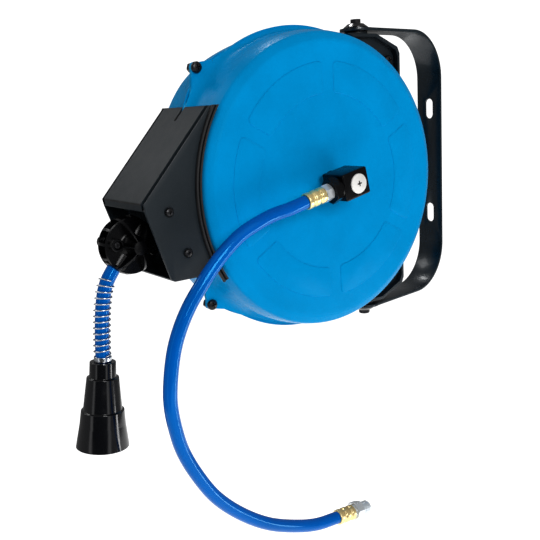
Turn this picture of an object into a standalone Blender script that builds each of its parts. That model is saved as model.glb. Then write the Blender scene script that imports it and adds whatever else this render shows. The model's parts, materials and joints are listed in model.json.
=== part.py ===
"""Wall-mounted spring-rewind air hose reel, in metres, +Z up.

The world origin is the middle of the bracket's back face, and +Y points into the wall.
The reel hangs between the bracket's arms on a vertical swing axis. Everything on the reel is
placed in the reel's own frame: its origin is the middle of the drum, +X runs along the drum's
axis towards the inlet, and +Y points to the wall side. Numbers below are millimetres.
"""

import math

import bmesh
import bpy
from mathutils import Matrix, Vector

MM = 0.001
GAP = 0.3  # left between faces of neighbouring pieces

# Wall bracket: a flat strap bent to a U
STRAP_WIDTH = 30.0
STRAP_THICK = 3.0
ARM_Z = 142.0  # outer face of an arm, above and below the middle
PIVOT_Y = -128.4  # swing axis, out from the wall face
BEND_RADIUS = 50.0  # outside of each bend
EYE_RADIUS = 16.0
SLOT_Z = 59.0
SLOT_WIDTH = 10.0
SLOT_LENGTH = 22.0
BUSH_HOLE = 6.3

# Swing of the reel on the bracket
PIVOT_BEHIND_DRUM = 77.3
REST_SWING_DEG = -8.5
LUG_TOP = 136.0
LUG_BACK = 123.0
LUG_HALF = 15.0
LUG_WALL = 3.2
LUG_WEB = (5.6, 8.6)  # the lug's web along the drum's axis

# Housing: two pressed steel shells with a flange between them
FACE_X = 46.0
FACE_RADIUS = 126.8
SHELL_THICK = 1.6
FLANGE_RADIUS = 144.5
EARS = ((156.0, 45.0), (154.4, 135.7), (152.9, 222.6), (156.0, 315.0))  # radius, angle from the wall side
EAR_TIP = 4.8
PAD_OUTER = 108.4
PAD_INNER = 80.2
PAD_GAP = 12.5
PAD_HEIGHT = 0.8
PAD_CORNER = 4.0

# Outlet nose
NOSE_HALF = 41.0
NOSE_WALL = 2.5
NOSE_OUTLINE = ((-124.3, 75.0), (-190.9, 1.0), (-189.8, -4.7), (-171.3, -63.5), (-165.8, -66.0))
GUIDE_SCREWS = ((-168.7, -7.7), (-154.3, -43.5))

# Hose and ball stopper
HOSE_RADIUS = 6.0
BALL_CENTRE = (-188.5, -36.3)
BALL_RADIUS = 25.0
BALL_TILT_DEG = 50.0  # the bore's slope below the horizontal
STOPPER_SCREW_ACROSS, STOPPER_SCREW_ALONG = 14.6, 7.5  # from the ball's middle
LEAD_START_DEG = 33.0  # slope of the hose where it leaves the winding

# Drum
BARREL_RADIUS = 70.0
WINDING_RADIUS = 106.8
DRUM_FLANGE = 124.0
WINDING_HALF = 30.0
SHAFT_RADIUS = 7.0

# Inlet swivel
SWIVEL_TILT_DEG = 12.0
SWIVEL_BACK = 53.4
SWIVEL_FRONT = 82.0
INLET_X = 72.0

# Routes of the free hoses in the reel's frame. The inlet hose starts at the ferrule.
INLET_ROUTE = (
    (72, -69, -15), (71, -86, -18), (71, -103, -23), (70, -119, -30), (70, -134, -40),
    (69, -148, -53), (69, -160, -66), (68, -171, -80), (68, -181, -96), (67, -188, -114),
    (67, -193, -135), (66, -195, -157), (66, -193, -179), (65, -187, -203), (64, -175, -229),
    (63, -158, -256), (62, -134, -281), (62, -106, -302), (61, -76, -317), (61, -49, -326),
)
INLET_END = (61.0, -23.0, -329.0)
INLET_END_TILT_DEG = 4.5  # the end fitting's slope below the horizontal
OUTLET_ROUTE = ((-205.2, -56.2), (-212.6, -68.0), (-217.0, -84.0), (-219.6, -102.0), (-221.2, -118.0))
BELL_TOP = (-222.1, -131.6)
BELL_TILT_DEG = 6.4  # lean of the bell away from the wall
BELL_LENGTH = 74.5
HOSE_INTO_BELL = 13.0
GUARD_TURNS = 13
GUARD_WIRE = 0.65

# Local Z becomes the reel's X, local X its Y, and local Y its Z
SIDEWAYS = Matrix(((0, 0, 1), (1, 0, 0), (0, 1, 0)))

for old in list(bpy.data.objects):
    bpy.data.objects.remove(old, do_unlink=True)

parts = bpy.data.collections.new("air_hose_reel")
cutters = bpy.data.collections.new("cutters")
bpy.context.scene.collection.children.link(parts)
bpy.context.scene.collection.children.link(cutters)
cutters.hide_render = True


def material(name, colour, roughness, metallic=0.0):
    made = bpy.data.materials.new(name)
    made.use_nodes = True
    shader = made.node_tree.nodes["Principled BSDF"]
    shader.inputs["Base Color"].default_value = (*colour, 1.0)
    shader.inputs["Roughness"].default_value = roughness
    shader.inputs["Metallic"].default_value = metallic
    return made


BLUE = material("blue_powder_coat", (0.0, 0.28, 0.68), 0.38)
BLACK = material("black_plastic", (0.035, 0.038, 0.042), 0.5)
GLOSS = material("glossy_black", (0.012, 0.012, 0.014), 0.18)
DARK_STEEL = material("dark_coated_steel", (0.045, 0.05, 0.058), 0.42, 0.3)
RUBBER = material("black_rubber", (0.02, 0.02, 0.02), 0.75)
HOSE_BLUE = material("blue_hose", (0.0, 0.09, 0.62), 0.25)
BRASS = material("brass", (0.83, 0.58, 0.2), 0.3, 1.0)
ZINC = material("zinc_plated_steel", (0.72, 0.76, 0.78), 0.32, 1.0)
BLACK_SCREW = material("black_screw", (0.03, 0.03, 0.03), 0.35, 0.8)
SPRING = material("spring_steel", (0.35, 0.36, 0.38), 0.35, 1.0)


def empty(name, location, rotation=(0, 0, 0), parent=None):
    made = bpy.data.objects.new(name, None)
    parts.objects.link(made)
    made.parent = parent
    made.location = Vector(location) * MM
    made.rotation_euler = rotation
    return made


def swung(x, y):
    """A point of the reel's plan, relative to the swing axis, after the rest swing."""
    turn = math.radians(REST_SWING_DEG)
    return x * math.cos(turn) - y * math.sin(turn), x * math.sin(turn) + y * math.cos(turn)


axis_offset = swung(0.0, -PIVOT_BEHIND_DRUM)
reel = empty(
    "reel_frame",
    (axis_offset[0], PIVOT_Y + axis_offset[1], 0.0),
    (0, 0, math.radians(REST_SWING_DEG)),
)
swivel = empty("swivel_frame", (0, 0, 0), (math.radians(SWIVEL_TILT_DEG), 0, 0), reel)


def place(obj, location=(0, 0, 0), turn=Matrix.Identity(3), parent=None):
    obj.parent = parent
    obj.matrix_local = Matrix.Translation(Vector(location) * MM) @ turn.to_4x4()
    return obj


def add(name, mesh, collection):
    obj = bpy.data.objects.new(name, mesh)
    collection.objects.link(obj)
    if collection is cutters:
        obj.hide_render = True
        obj.display_type = "WIRE"
    return obj


def finish(obj, look):
    obj.data.materials.clear()
    obj.data.materials.append(look)
    if obj.type == "MESH":
        obj.data.shade_smooth()
        obj.data.set_sharp_from_angle(angle=math.radians(32))
    return obj


def as_mesh(curve_object, weld=1e-6):
    """The curve as a closed mesh, welded at its caps."""
    bpy.context.view_layer.update()
    graph = bpy.context.evaluated_depsgraph_get()
    mesh = bpy.data.meshes.new_from_object(curve_object.evaluated_get(graph))
    bpy.data.objects.remove(curve_object, do_unlink=True)
    shape = bmesh.new()
    shape.from_mesh(mesh)
    bmesh.ops.remove_doubles(shape, verts=shape.verts, dist=weld)
    bmesh.ops.recalc_face_normals(shape, faces=shape.faces)
    shape.to_mesh(mesh)
    shape.free()
    return mesh


def plate(name, outlines, low, high, collection=parts):
    """Flat outlines, the first the outside and the rest holes, from low to high along local Z."""
    curve = bpy.data.curves.new(name, "CURVE")
    curve.dimensions = "2D"
    curve.fill_mode = "BOTH"
    curve.extrude = (high - low) / 2 * MM
    for outline in outlines:
        spline = curve.splines.new("POLY")
        spline.points.add(len(outline) - 1)
        for point, (u, v) in zip(spline.points, outline):
            point.co = (u * MM, v * MM, 0, 1)
        spline.use_cyclic_u = True
    holder = add(name + "_outline", curve, parts)
    mesh = as_mesh(holder)
    mesh.transform(Matrix.Translation((0, 0, (low + high) / 2 * MM)))
    return add(name, mesh, collection)


def turned(name, profile, steps=48, collection=parts):
    """A closed profile of (radius, height) points turned about local Z."""
    area = sum(a[0] * b[1] - b[0] * a[1] for a, b in zip(profile, profile[1:] + profile[:1]))
    ordered = list(profile) if area < 0 else list(reversed(profile))
    mesh = bpy.data.meshes.new(name)
    count = len(ordered)
    mesh.from_pydata(
        [(radius * MM, 0, height * MM) for radius, height in ordered],
        [(i, (i + 1) % count) for i in range(count)],
        [],
    )
    obj = add(name, mesh, collection)
    screw = obj.modifiers.new("Turn", "SCREW")
    screw.axis = "Z"
    screw.steps = screw.render_steps = steps
    screw.use_merge_vertices = True
    screw.merge_threshold = 1e-6
    return obj


def block(name, size, bevel=0.0, collection=parts):
    mesh = bpy.data.meshes.new(name)
    shape = bmesh.new()
    bmesh.ops.create_cube(shape, size=1.0)
    bmesh.ops.scale(shape, vec=Vector(size) * MM, verts=shape.verts)
    shape.to_mesh(mesh)
    shape.free()
    obj = add(name, mesh, collection)
    if bevel:
        rounding = obj.modifiers.new("Edges", "BEVEL")
        rounding.width = bevel * MM
        rounding.segments = 1
    return obj


def rod(name, radius, low, high, sides=24, collection=cutters):
    """A round bar, or a hexagonal one with six sides, from low to high along local Z."""
    mesh = bpy.data.meshes.new(name)
    shape = bmesh.new()
    bmesh.ops.create_cone(
        shape, cap_ends=True, segments=sides, radius1=radius * MM, radius2=radius * MM, depth=(high - low) * MM
    )
    bmesh.ops.translate(shape, vec=(0, 0, (low + high) / 2 * MM), verts=shape.verts)
    shape.to_mesh(mesh)
    shape.free()
    return add(name, mesh, collection)


def combine(obj, other, operation="DIFFERENCE"):
    boolean = obj.modifiers.new(other.name, "BOOLEAN")
    boolean.operation = operation
    boolean.object = other
    boolean.solver = "EXACT"


def polar(radius, degrees):
    return radius * math.cos(math.radians(degrees)), radius * math.sin(math.radians(degrees))


def ring_points(radius, count, centre=(0.0, 0.0), start=0.0, sweep=360.0, closed=True):
    """Points round a circle or along an arc of it; an open arc includes both ends."""
    spaces = count if closed else count - 1
    angles = [math.radians(start + sweep * i / spaces) for i in range(count)]
    return [(centre[0] + radius * math.cos(a), centre[1] + radius * math.sin(a)) for a in angles]


def smooth_route(points, spacing):
    """Points evenly spaced along a Catmull-Rom curve through the given ones."""
    ends = [points[0] * 2 - points[1], *points, points[-1] * 2 - points[-2]]
    fine = []
    for before, start, end, after in zip(ends, ends[1:], ends[2:], ends[3:]):
        for step in range(12):
            t = step / 12
            fine.append(
                0.5
                * (
                    2 * start
                    + (end - before) * t
                    + (2 * before - 5 * start + 4 * end - after) * t * t
                    + (3 * start - before - 3 * end + after) * t**3
                )
            )
    fine.append(points[-1])
    total = sum((b - a).length for a, b in zip(fine, fine[1:]))
    count = max(2, round(total / spacing))
    route = [fine[0]]
    walked, target = 0.0, total / count
    for a, b in zip(fine, fine[1:]):
        step = (b - a).length
        while walked + step >= target and len(route) < count:
            route.append(a.lerp(b, (target - walked) / step))
            target += total / count
        walked += step
    return [*route, fine[-1]]


def tube(name, points, radius, resolution=2):
    curve = bpy.data.curves.new(name, "CURVE")
    curve.dimensions = "3D"
    curve.bevel_depth = radius * MM
    curve.bevel_resolution = resolution
    curve.use_fill_caps = True
    spline = curve.splines.new("POLY")
    spline.points.add(len(points) - 1)
    for knot, point in zip(spline.points, points):
        knot.co = (*(Vector(point) * MM), 1)
    return add(name, curve, parts)


def along(direction):
    """A turn that takes local Z to the direction, keeping local Y near the reel's X."""
    z = Vector(direction).normalized()
    y = Vector((1, 0, 0)) if abs(z.x) < 0.9 else Vector((0, 1, 0))
    x = y.cross(z).normalized()
    return Matrix((x, z.cross(x), z)).transposed()


def slope(degrees):
    """Unit vector in the drum's plane, pointing away from the wall and down by the angle."""
    return Vector((0, -math.cos(math.radians(degrees)), -math.sin(math.radians(degrees))))


# ---- Wall bracket ----


def strap_path():
    """(distance along the strap, y, z) from the upper eye's tip round to the lower one's."""
    middle = STRAP_THICK / 2
    arm_z, back_y = ARM_Z - middle, -middle
    bend = BEND_RADIUS - middle
    half = [(PIVOT_Y - EYE_RADIUS * math.cos(math.radians(a)), arm_z) for a in range(0, 91, 15)]
    half[0] = (PIVOT_Y - EYE_RADIUS * 0.995, arm_z)
    half.append((PIVOT_Y + EYE_RADIUS, arm_z))
    for i in range(9):
        turn = math.radians(90 * i / 8)
        half.append((back_y - bend + bend * math.sin(turn), arm_z - bend + bend * math.cos(turn)))
    return half + [(y, -z) for y, z in reversed(half)]


def strap_half_width(y, z):
    """Half the strap's width: the eye's circle at the arms' ends, then the plain strap."""
    reach = abs(y - PIVOT_Y)
    round_part = math.sqrt(max(EYE_RADIUS**2 - reach**2, 0.0))
    if abs(z) > ARM_Z - STRAP_THICK and y < PIVOT_Y:
        return round_part
    return max(round_part, STRAP_WIDTH / 2) if y < PIVOT_Y + EYE_RADIUS / 3 else STRAP_WIDTH / 2


def wall_bracket():
    mesh = bpy.data.meshes.new("wall_bracket")
    shape = bmesh.new()
    rows = []
    for y, z in strap_path():
        half = strap_half_width(y, z)
        rows.append([shape.verts.new((side * half * MM, y * MM, z * MM)) for side in (-1, 1)])
    for a, b in zip(rows, rows[1:]):
        shape.faces.new((a[0], a[1], b[1], b[0]))
    shape.to_mesh(mesh)
    shape.free()
    strap = add("wall_bracket", mesh, parts)
    solid = strap.modifiers.new("Sheet", "SOLIDIFY")
    solid.thickness = STRAP_THICK * MM
    solid.offset = 0
    solid.use_even_offset = True
    for side in (-1, 1):
        hole = rod("bush_hole", BUSH_HOLE, ARM_Z - 10, ARM_Z + 10)
        place(hole, (0, PIVOT_Y, 0), Matrix.Rotation(0 if side > 0 else math.pi, 3, "X"))
        combine(strap, hole)
        reach = (SLOT_LENGTH - SLOT_WIDTH) / 2
        outline = ring_points(SLOT_WIDTH / 2, 9, (side * SLOT_Z + reach, 0), -90, 180, closed=False)
        outline += ring_points(SLOT_WIDTH / 2, 9, (side * SLOT_Z - reach, 0), 90, 180, closed=False)
        slot = plate("slot", [outline], -10, 10, cutters)
        place(slot, (0, 0, 0), Matrix(((0, 1, 0), (0, 0, 1), (1, 0, 0))))
        combine(strap, slot)
    return finish(strap, DARK_STEEL)


# ---- Swing pivots, one above and one below ----


def pivot_set(prefix, side):
    """Bolt, bush, thrust washer and nut of one pivot, and its lug; side is +1 above, -1 below."""
    flip = Matrix.Identity(3) if side > 0 else Matrix.Rotation(math.pi, 3, "X")
    axis = (0, PIVOT_Y, 0)
    inner_face = ARM_Z - STRAP_THICK
    bush_top = ARM_Z + GAP + 4.2
    bush = turned(
        f"{prefix}_pivot_bush",
        [(3.4, inner_face + 0.2), (6.0, inner_face + 0.2), (6.0, ARM_Z + GAP), (12.2, ARM_Z + GAP),
         (12.2, ARM_Z + 1.6), (8.0, bush_top), (3.4, bush_top)],
        20,
    )
    finish(place(bush, axis, flip), GLOSS)
    washer = turned(
        f"{prefix}_thrust_washer",
        [(3.4, LUG_TOP + GAP), (11.5, LUG_TOP + GAP), (11.5, inner_face - GAP), (3.4, inner_face - GAP)],
        20,
    )
    finish(place(washer, axis, flip), BLACK)
    head_low = bush_top + GAP
    bolt = rod(f"{prefix}_pivot_bolt", 3.0, LUG_TOP - 10.5, head_low + 1, 20, parts)
    head = rod("bolt_head", 5.77, head_low, head_low + 4.0, 6)
    place(head, axis, flip)
    combine(bolt, head, "UNION")
    finish(place(bolt, axis, flip), BLACK_SCREW)
    nut = turned(
        f"{prefix}_pivot_nut",
        [(3.9, LUG_TOP - 8.5), (5.77, LUG_TOP - 8.5), (5.77, LUG_TOP - 3.5), (3.9, LUG_TOP - 3.5)],
        6,
    )
    finish(place(nut, axis, flip @ Matrix.Rotation(math.radians(30), 3, "Z")), ZINC)
    return pivot_lug(f"{prefix}_pivot_lug", side)


def lug_corners(inset):
    """The lug's outer corners in the drum's plane, drawn in by the inset."""
    top, back = LUG_TOP - inset, LUG_BACK - inset
    return [(91.3 - inset * 0.2, top), (120.0 - inset * 0.9, 123.4 - inset * 0.95), (back, 117.0 - inset)]


def pivot_lug(name, side):
    """Corner block between the housing's flange and the pivot: a rim round a pierced web."""

    def shaped(label, outline, low, high, collection=parts):
        drawn = [(u, v * side) for u, v in outline]
        return place(plate(label, [drawn], low, high, collection), (0, 0, 0), SIDEWAYS, reel)

    inner = FLANGE_RADIUS + 1.5
    start = math.degrees(math.acos(LUG_BACK / inner))
    end = math.degrees(math.asin(LUG_TOP / inner))
    arc = ring_points(inner, 12, (0, 0), start, end - start, closed=False)
    lug = shaped(name, [*arc, *lug_corners(0)], -LUG_HALF, LUG_HALF)
    top, back = LUG_TOP - LUG_WALL, LUG_BACK - LUG_WALL
    hollow = [*lug_corners(LUG_WALL), (back, 40.0), (40.0, 40.0), (40.0, top)]
    combine(lug, shaped("lug_back_hollow", hollow, -30.0, LUG_WEB[0], cutters))
    rib = 88.4
    cell = [(rib - 1.3, top), (rib - 1.3, 40.0), (40.0, 40.0), (40.0, top)]
    combine(lug, shaped("lug_front_cell", cell, LUG_WEB[1], 30.0, cutters))
    cell = [*lug_corners(LUG_WALL), (back, 40.0), (rib + 1.3, 40.0), (rib + 1.3, top)]
    combine(lug, shaped("lug_corner_cell", cell, LUG_WEB[1], 30.0, cutters))
    ear_y, ear_z = polar(*EARS[0])
    boss = rod("lug_boss", 6.2, 2.1, LUG_WEB[1] + 0.8, 20)
    combine(lug, place(boss, (0, ear_y, ear_z * side), SIDEWAYS, reel), "UNION")
    screw_hole = rod("lug_screw_hole", 2.7, -20, 20)
    combine(lug, place(screw_hole, (0, ear_y, ear_z * side), SIDEWAYS, reel))
    hole = rod("lug_bolt_hole", 3.4, LUG_TOP - 30, LUG_TOP + 10)
    turn = Matrix.Identity(3) if side > 0 else Matrix.Rotation(math.pi, 3, "X")
    combine(lug, place(hole, (0, PIVOT_BEHIND_DRUM, 0), turn, reel))
    return finish(lug, BLACK)


# ---- Housing ----


def flange_outline():
    """The flange's circle with a rounded ear at each screw."""
    points = []
    spread = 8.5
    for (radius, at), (_, following) in zip(EARS, [*EARS[1:], (0.0, EARS[0][1] + 360)]):
        points += ring_points(EAR_TIP, 5, polar(radius, at), at - 62, 124, closed=False)
        sweep = following - at - 2 * spread
        count = max(3, round(sweep / 9))
        points += ring_points(FLANGE_RADIUS, count, (0, 0), at + spread, sweep, closed=False)
    return points


# Sections from the face to the flange, outside first; the rear shell has the tighter shoulder
FRONT_SECTION = (
    ((FACE_RADIUS, FACE_X), (134.8, 41.2), (137.3, 30.0), (138.4, 9.5), (139.6, 4.6), (142.6, 1.2)),
    ((140.6, 1.2), (138.0, 4.2), (136.8, 9.3), (135.7, 29.7), (133.5, 40.2), (FACE_RADIUS - 0.4, FACE_X - SHELL_THICK)),
)
REAR_SECTION = (
    ((132.0, FACE_X), (137.6, 43.0), (138.8, 30.0), (139.2, 9.5), (140.2, 4.6), (142.8, 1.2)),
    ((140.8, 1.2), (138.6, 4.2), (137.6, 9.3), (137.2, 29.7), (136.2, 42.0), (131.4, FACE_X - SHELL_THICK)),
)


def pad_outline(middle):
    """One sector pad on a shell's face, with rounded corners, centred on an angle."""
    outer, inner = PAD_OUTER - PAD_CORNER, PAD_INNER + PAD_CORNER
    outer_reach, inner_reach = (30 - math.degrees(math.asin((PAD_GAP / 2 + PAD_CORNER) / r)) for r in (outer, inner))

    def corner(radius, at, start, stop):
        return ring_points(PAD_CORNER, 2, polar(radius, at), start, stop - start, closed=False)

    first, last = middle - outer_reach, middle + outer_reach
    inner_last, inner_first = middle + inner_reach, middle - inner_reach
    return [
        *corner(outer, first, middle - 120, first),
        *ring_points(PAD_OUTER, 4, (0, 0), first + 4, last - first - 8, closed=False),
        *corner(outer, last, last, middle + 120),
        *corner(inner, inner_last, middle + 120, inner_last + 180),
        *ring_points(PAD_INNER, 3, (0, 0), inner_last - 4, inner_first - inner_last + 8, closed=False),
        *corner(inner, inner_first, inner_first + 180, middle + 240),
    ]


def housing_shell(name, side, centre_hole, section):
    """One dished shell with its flange; side is +1 for the inlet side and -1 behind."""
    turn = SIDEWAYS if side > 0 else SIDEWAYS @ Matrix.Rotation(math.pi, 3, "X")
    outside, inside = section
    profile = [(centre_hole, FACE_X), *outside, *inside, (centre_hole, FACE_X - SHELL_THICK)]
    shell = place(turned(name, profile, 40), (0, 0, 0), turn, reel)
    rim = ring_points(136.4, 40)
    holes = [ring_points(2.7, 6, polar(*ear)) for ear in EARS]
    flange = plate("flange", [flange_outline(), rim, *holes], 0.15, 0.15 + SHELL_THICK, cutters)
    if side < 0:
        flange.data.transform(Matrix.Translation((0, 0, -(0.3 + SHELL_THICK) * MM)))
    place(flange, (0, 0, 0), SIDEWAYS, reel)
    combine(shell, flange, "UNION")
    for i in range(6):
        low, high = (FACE_X - 0.8, FACE_X + PAD_HEIGHT) if side > 0 else (-FACE_X - PAD_HEIGHT, 0.8 - FACE_X)
        pad = plate("pad", [pad_outline(60 * i)], low, high, cutters)
        place(pad, (0, 0, 0), SIDEWAYS, reel)
        combine(shell, pad, "UNION")
    mouth = block("hose_opening", (40, 68, 36), collection=cutters)
    place(mouth, (0, -130.0, 33.0), Matrix.Rotation(math.radians(42), 3, "X"), reel)
    combine(shell, mouth)
    return finish(shell, BLUE)


def screw_and_nut(label, at, head_x, nut_x):
    """A pan-head screw along the drum's axis with its nut behind the flange."""
    screw = turned(
        f"{label}_screw",
        [(0, nut_x - 4.0), (2.3, nut_x - 4.0), (2.3, head_x), (5.0, head_x), (5.0, head_x + 2.2),
         (3.6, head_x + 3.6), (0, head_x + 3.6)],
        12,
    )
    finish(place(screw, (0, *at), SIDEWAYS, reel), BLACK_SCREW)
    nut = turned(
        f"{label}_nut", [(3.1, nut_x - 4.4), (4.9, nut_x - 4.4), (4.9, nut_x), (3.1, nut_x)], 6
    )
    finish(place(nut, (0, *at), SIDEWAYS, reel), BLACK_SCREW)


# ---- Outlet nose ----


def housing_cutter(clearance):
    """The housing's outer form grown by the clearance, as one turned cutter."""
    half = [(radius + clearance, height) for radius, height in REAR_SECTION[0][2:-1]]
    half += [(143.4 + clearance, 2.4), (FLANGE_RADIUS + clearance, 1.75 + clearance)]
    profile = [(0, FACE_X + 8), (half[0][0], FACE_X + 8), *half]
    profile += [(radius, -height) for radius, height in reversed(profile)]
    return place(turned("housing_form", profile, 40, cutters), (0, 0, 0), SIDEWAYS, reel)


def nose():
    def cut_plate(label, outline, low, high):
        return place(plate(label, [outline], low, high, cutters), (0, 0, 0), SIDEWAYS, reel)

    outline = [*NOSE_OUTLINE, (-104.0, -66.0), (-104.0, 75.0)]
    shell = place(plate("nose_housing", [outline], -NOSE_HALF, NOSE_HALF), (0, 0, 0), SIDEWAYS, reel)
    inside = NOSE_HALF - NOSE_WALL
    room = [(-90.0, 72.3), (-123.3, 72.3), (-186.5, 2.0), (-187.3, -5.3), (-215.0, -5.3), (-215.0, -63.3),
            (-90.0, -63.3)]
    combine(shell, cut_plate("nose_room", room, -inside, inside))
    combine(shell, housing_cutter(0.4))
    slit = [(-116.0, 80.0), (-126.0, 80.0), (-140.0, 50.0), (-132.0, 42.0), (-116.0, 52.0)]
    combine(shell, cut_plate("flange_slit", slit, -2.3, 2.3))
    for y, z in GUIDE_SCREWS:
        hole = rod("nose_screw_hole", 2.0, -60, 60, 10)
        place(hole, (0, y, z), SIDEWAYS, reel)
        combine(shell, hole)
    return finish(shell, BLACK)


def nose_seal(name, side):
    """Twin-ribbed rubber strip between the nose's side plate and the shell's edge."""
    low = NOSE_HALF + GAP
    profile = [(137.4, low), (143.0, low), (143.0, low + 2.4), (140.9, low + 2.4),
               (140.4, low + 1.1), (140.0, low + 1.1), (139.5, low + 2.4), (137.4, low + 2.4)]
    if side < 0:
        profile = [(radius + 1.0, -height) for radius, height in profile]
    strip = place(turned(name, profile, 72), (0, 0, 0), SIDEWAYS, reel)
    wedge = [(0, 0), (-80.0, 75.3), (-230.0, 75.3), (-170.0, -103.0)]
    keep = place(plate("seal_span", [wedge], -60, 60, cutters), (0, 0, 0), SIDEWAYS, reel)
    combine(strip, keep, "INTERSECT")
    return finish(strip, RUBBER)


def mouth_plate():
    """Cross plate inside the nose with the flared collar that the ball rests on."""
    slab = [(-178.0, 10.2), (-174.9, 13.4), (-144.8, -62.9), (-148.0, -62.9)]
    obj = place(plate("mouth_plate", [slab], -38.1, 38.1), (0, 0, 0), SIDEWAYS, reel)
    centre = (0, *BALL_CENTRE)
    turn = along(-slope(BALL_TILT_DEG))
    collar = rod("mouth_collar", 12.6, 22.9, 38.0, 20)
    combine(obj, place(collar, centre, turn, reel), "UNION")
    bore = turned(
        "mouth_bore",
        [(0, 18.5), (12.8, 18.5), (10.8, 22.9), (7.6, 28.0), (7.6, 38.0), (12.0, 46.0), (0, 46.0)],
        20, cutters,
    )
    combine(obj, place(bore, centre, turn, reel))
    for y, z in GUIDE_SCREWS:
        for side in (-1, 1):
            low, high = sorted((side * 26.0, side * 38.1))
            boss = rod("boss", 4.6, low, high, 10)
            combine(obj, place(boss, (0, y, z), SIDEWAYS, reel), "UNION")
            pilot = rod("pilot", 1.8, *sorted((side * 28.0, side * 45.0)), 8)
            combine(obj, place(pilot, (0, y, z), SIDEWAYS, reel))
    return finish(obj, BLACK)


def guide_screw(name, at, side):
    face = side * (NOSE_HALF + GAP)
    profile = [(0, side * 30.0), (1.4, side * 30.0), (1.4, face), (3.6, face), (2.8, face + side * 2.0),
               (0, face + side * 2.0)]
    return finish(place(turned(name, profile, 10), (0, *at), SIDEWAYS, reel), BLACK_SCREW)


# ---- Ball stopper ----


def stopper_half(name, side):
    """Half of the ball, split in the drum's middle plane, with the hose's bore between them."""
    mesh = bpy.data.meshes.new(name)
    shape = bmesh.new()
    bmesh.ops.create_uvsphere(shape, u_segments=20, v_segments=12, radius=BALL_RADIUS * MM)
    shape.to_mesh(mesh)
    shape.free()
    turn = along(slope(BALL_TILT_DEG))
    centre = (0, *BALL_CENTRE)
    half = place(add(name, mesh, parts), centre, turn, reel)
    away = block("other_half", (80, 80, 80), collection=cutters)
    place(away, (-side * (40 - GAP / 2), *BALL_CENTRE), Matrix.Identity(3), reel)
    combine(half, away)
    bore = rod("ball_bore", HOSE_RADIUS + 0.5, -40, 40, 16)
    combine(half, place(bore, centre, turn, reel))
    for at in stopper_screw_places():
        shank = rod("stopper_screw_hole", 1.9, -40, 40, 8)
        combine(half, place(shank, (0, *at), SIDEWAYS, reel))
        seat = rod("stopper_screw_seat", 3.6, *sorted((side * 12.0, side * 40.0)), 12)
        combine(half, place(seat, (0, *at), SIDEWAYS, reel))
    return finish(half, BLACK)


def stopper_screw_places():
    """The two clamp screws, one each side of the bore."""
    away = slope(BALL_TILT_DEG - 90) * STOPPER_SCREW_ACROSS + slope(BALL_TILT_DEG) * STOPPER_SCREW_ALONG
    return [(BALL_CENTRE[0] + k * away.y, BALL_CENTRE[1] + k * away.z) for k in (-1, 1)]


def stopper_screw(name, at):
    profile = [(0, -11.0), (1.5, -11.0), (1.5, 12.4), (3.1, 12.4), (3.1, 14.6), (0, 14.6)]
    return finish(place(turned(name, profile, 10), (0, *at), SIDEWAYS, reel), ZINC)


# ---- Drum and what turns with it ----


def drum_parts():
    def made(name, profile, look, steps=28):
        return finish(place(turned(name, profile, steps), (0, 0, 0), SIDEWAYS, reel), look)

    low, high = -WINDING_HALF, WINDING_HALF
    made(
        "hose_drum",
        [(9.4, high + 3), (DRUM_FLANGE, high + 3), (DRUM_FLANGE, high), (BARREL_RADIUS - GAP, high),
         (BARREL_RADIUS - GAP, low + GAP), (BARREL_RADIUS - 3.5, low + GAP), (BARREL_RADIUS - 3.5, high),
         (9.4, high)],
        BLACK,
    )
    made(
        "drum_rear_flange",
        [(40.0, low), (DRUM_FLANGE, low), (DRUM_FLANGE, low - 3), (40.0, low - 3)],
        BLACK,
    )
    ridges = []
    turns = 5
    pitch = 2 * (WINDING_HALF - GAP) / turns
    for i in range(turns):
        centre = high - GAP - pitch * (i + 0.5)
        for degrees in (50, -50):
            a = math.radians(degrees)
            ridges.append((WINDING_RADIUS - 6 + 6 * math.cos(a), centre + 6 * math.sin(a)))
    made(
        "wound_hose",
        [(BARREL_RADIUS + GAP, high - GAP), *ridges, (BARREL_RADIUS + GAP, low + GAP)],
        HOSE_BLUE,
    )
    made(
        "hollow_shaft",
        [(3.6, 6.0), (9.0, 6.0), (9.0, 24.0), (20.0, 24.0), (20.0, high - GAP), (9.0, high - GAP), (9.0, 36.0),
         (SHAFT_RADIUS, 37.0), (SHAFT_RADIUS, SWIVEL_FRONT - 0.6), (3.6, SWIVEL_FRONT - 0.6)],
        BRASS, 20,
    )
    made(
        "spring_cover",
        [(9.4, -25.6), (14.0, -25.6), (14.0, -27.0), (BARREL_RADIUS - 4.0, -27.0), (BARREL_RADIUS - 4.0, -29.4),
         (9.4, -29.4)],
        DARK_STEEL,
    )
    made(
        "swivel_screw",
        [(0, SWIVEL_FRONT + GAP + 1.7), (8.0, SWIVEL_FRONT + GAP + 1.7), (8.8, SWIVEL_FRONT + GAP + 0.9),
         (8.8, SWIVEL_FRONT + GAP), (3.2, SWIVEL_FRONT + GAP), (3.2, 77.5), (0, 77.5)],
        ZINC, 20,
    )
    teeth = []
    for i in range(12):
        start = 30 * i
        teeth += ring_points(44.0, 2, (0, 0), start, 20, closed=False)
        teeth += [(50.0 * math.cos(math.radians(start + 21)), 50.0 * math.sin(math.radians(start + 21)))]
        teeth += [(48.6 * math.cos(math.radians(start + 27)), 48.6 * math.sin(math.radians(start + 27)))]
    ratchet = plate("ratchet_ring", [teeth, ring_points(36.0, 24)], high + 3 + GAP, high + 7.3)
    finish(place(ratchet, (0, 0, 0), SIDEWAYS, reel), DARK_STEEL)


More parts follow.
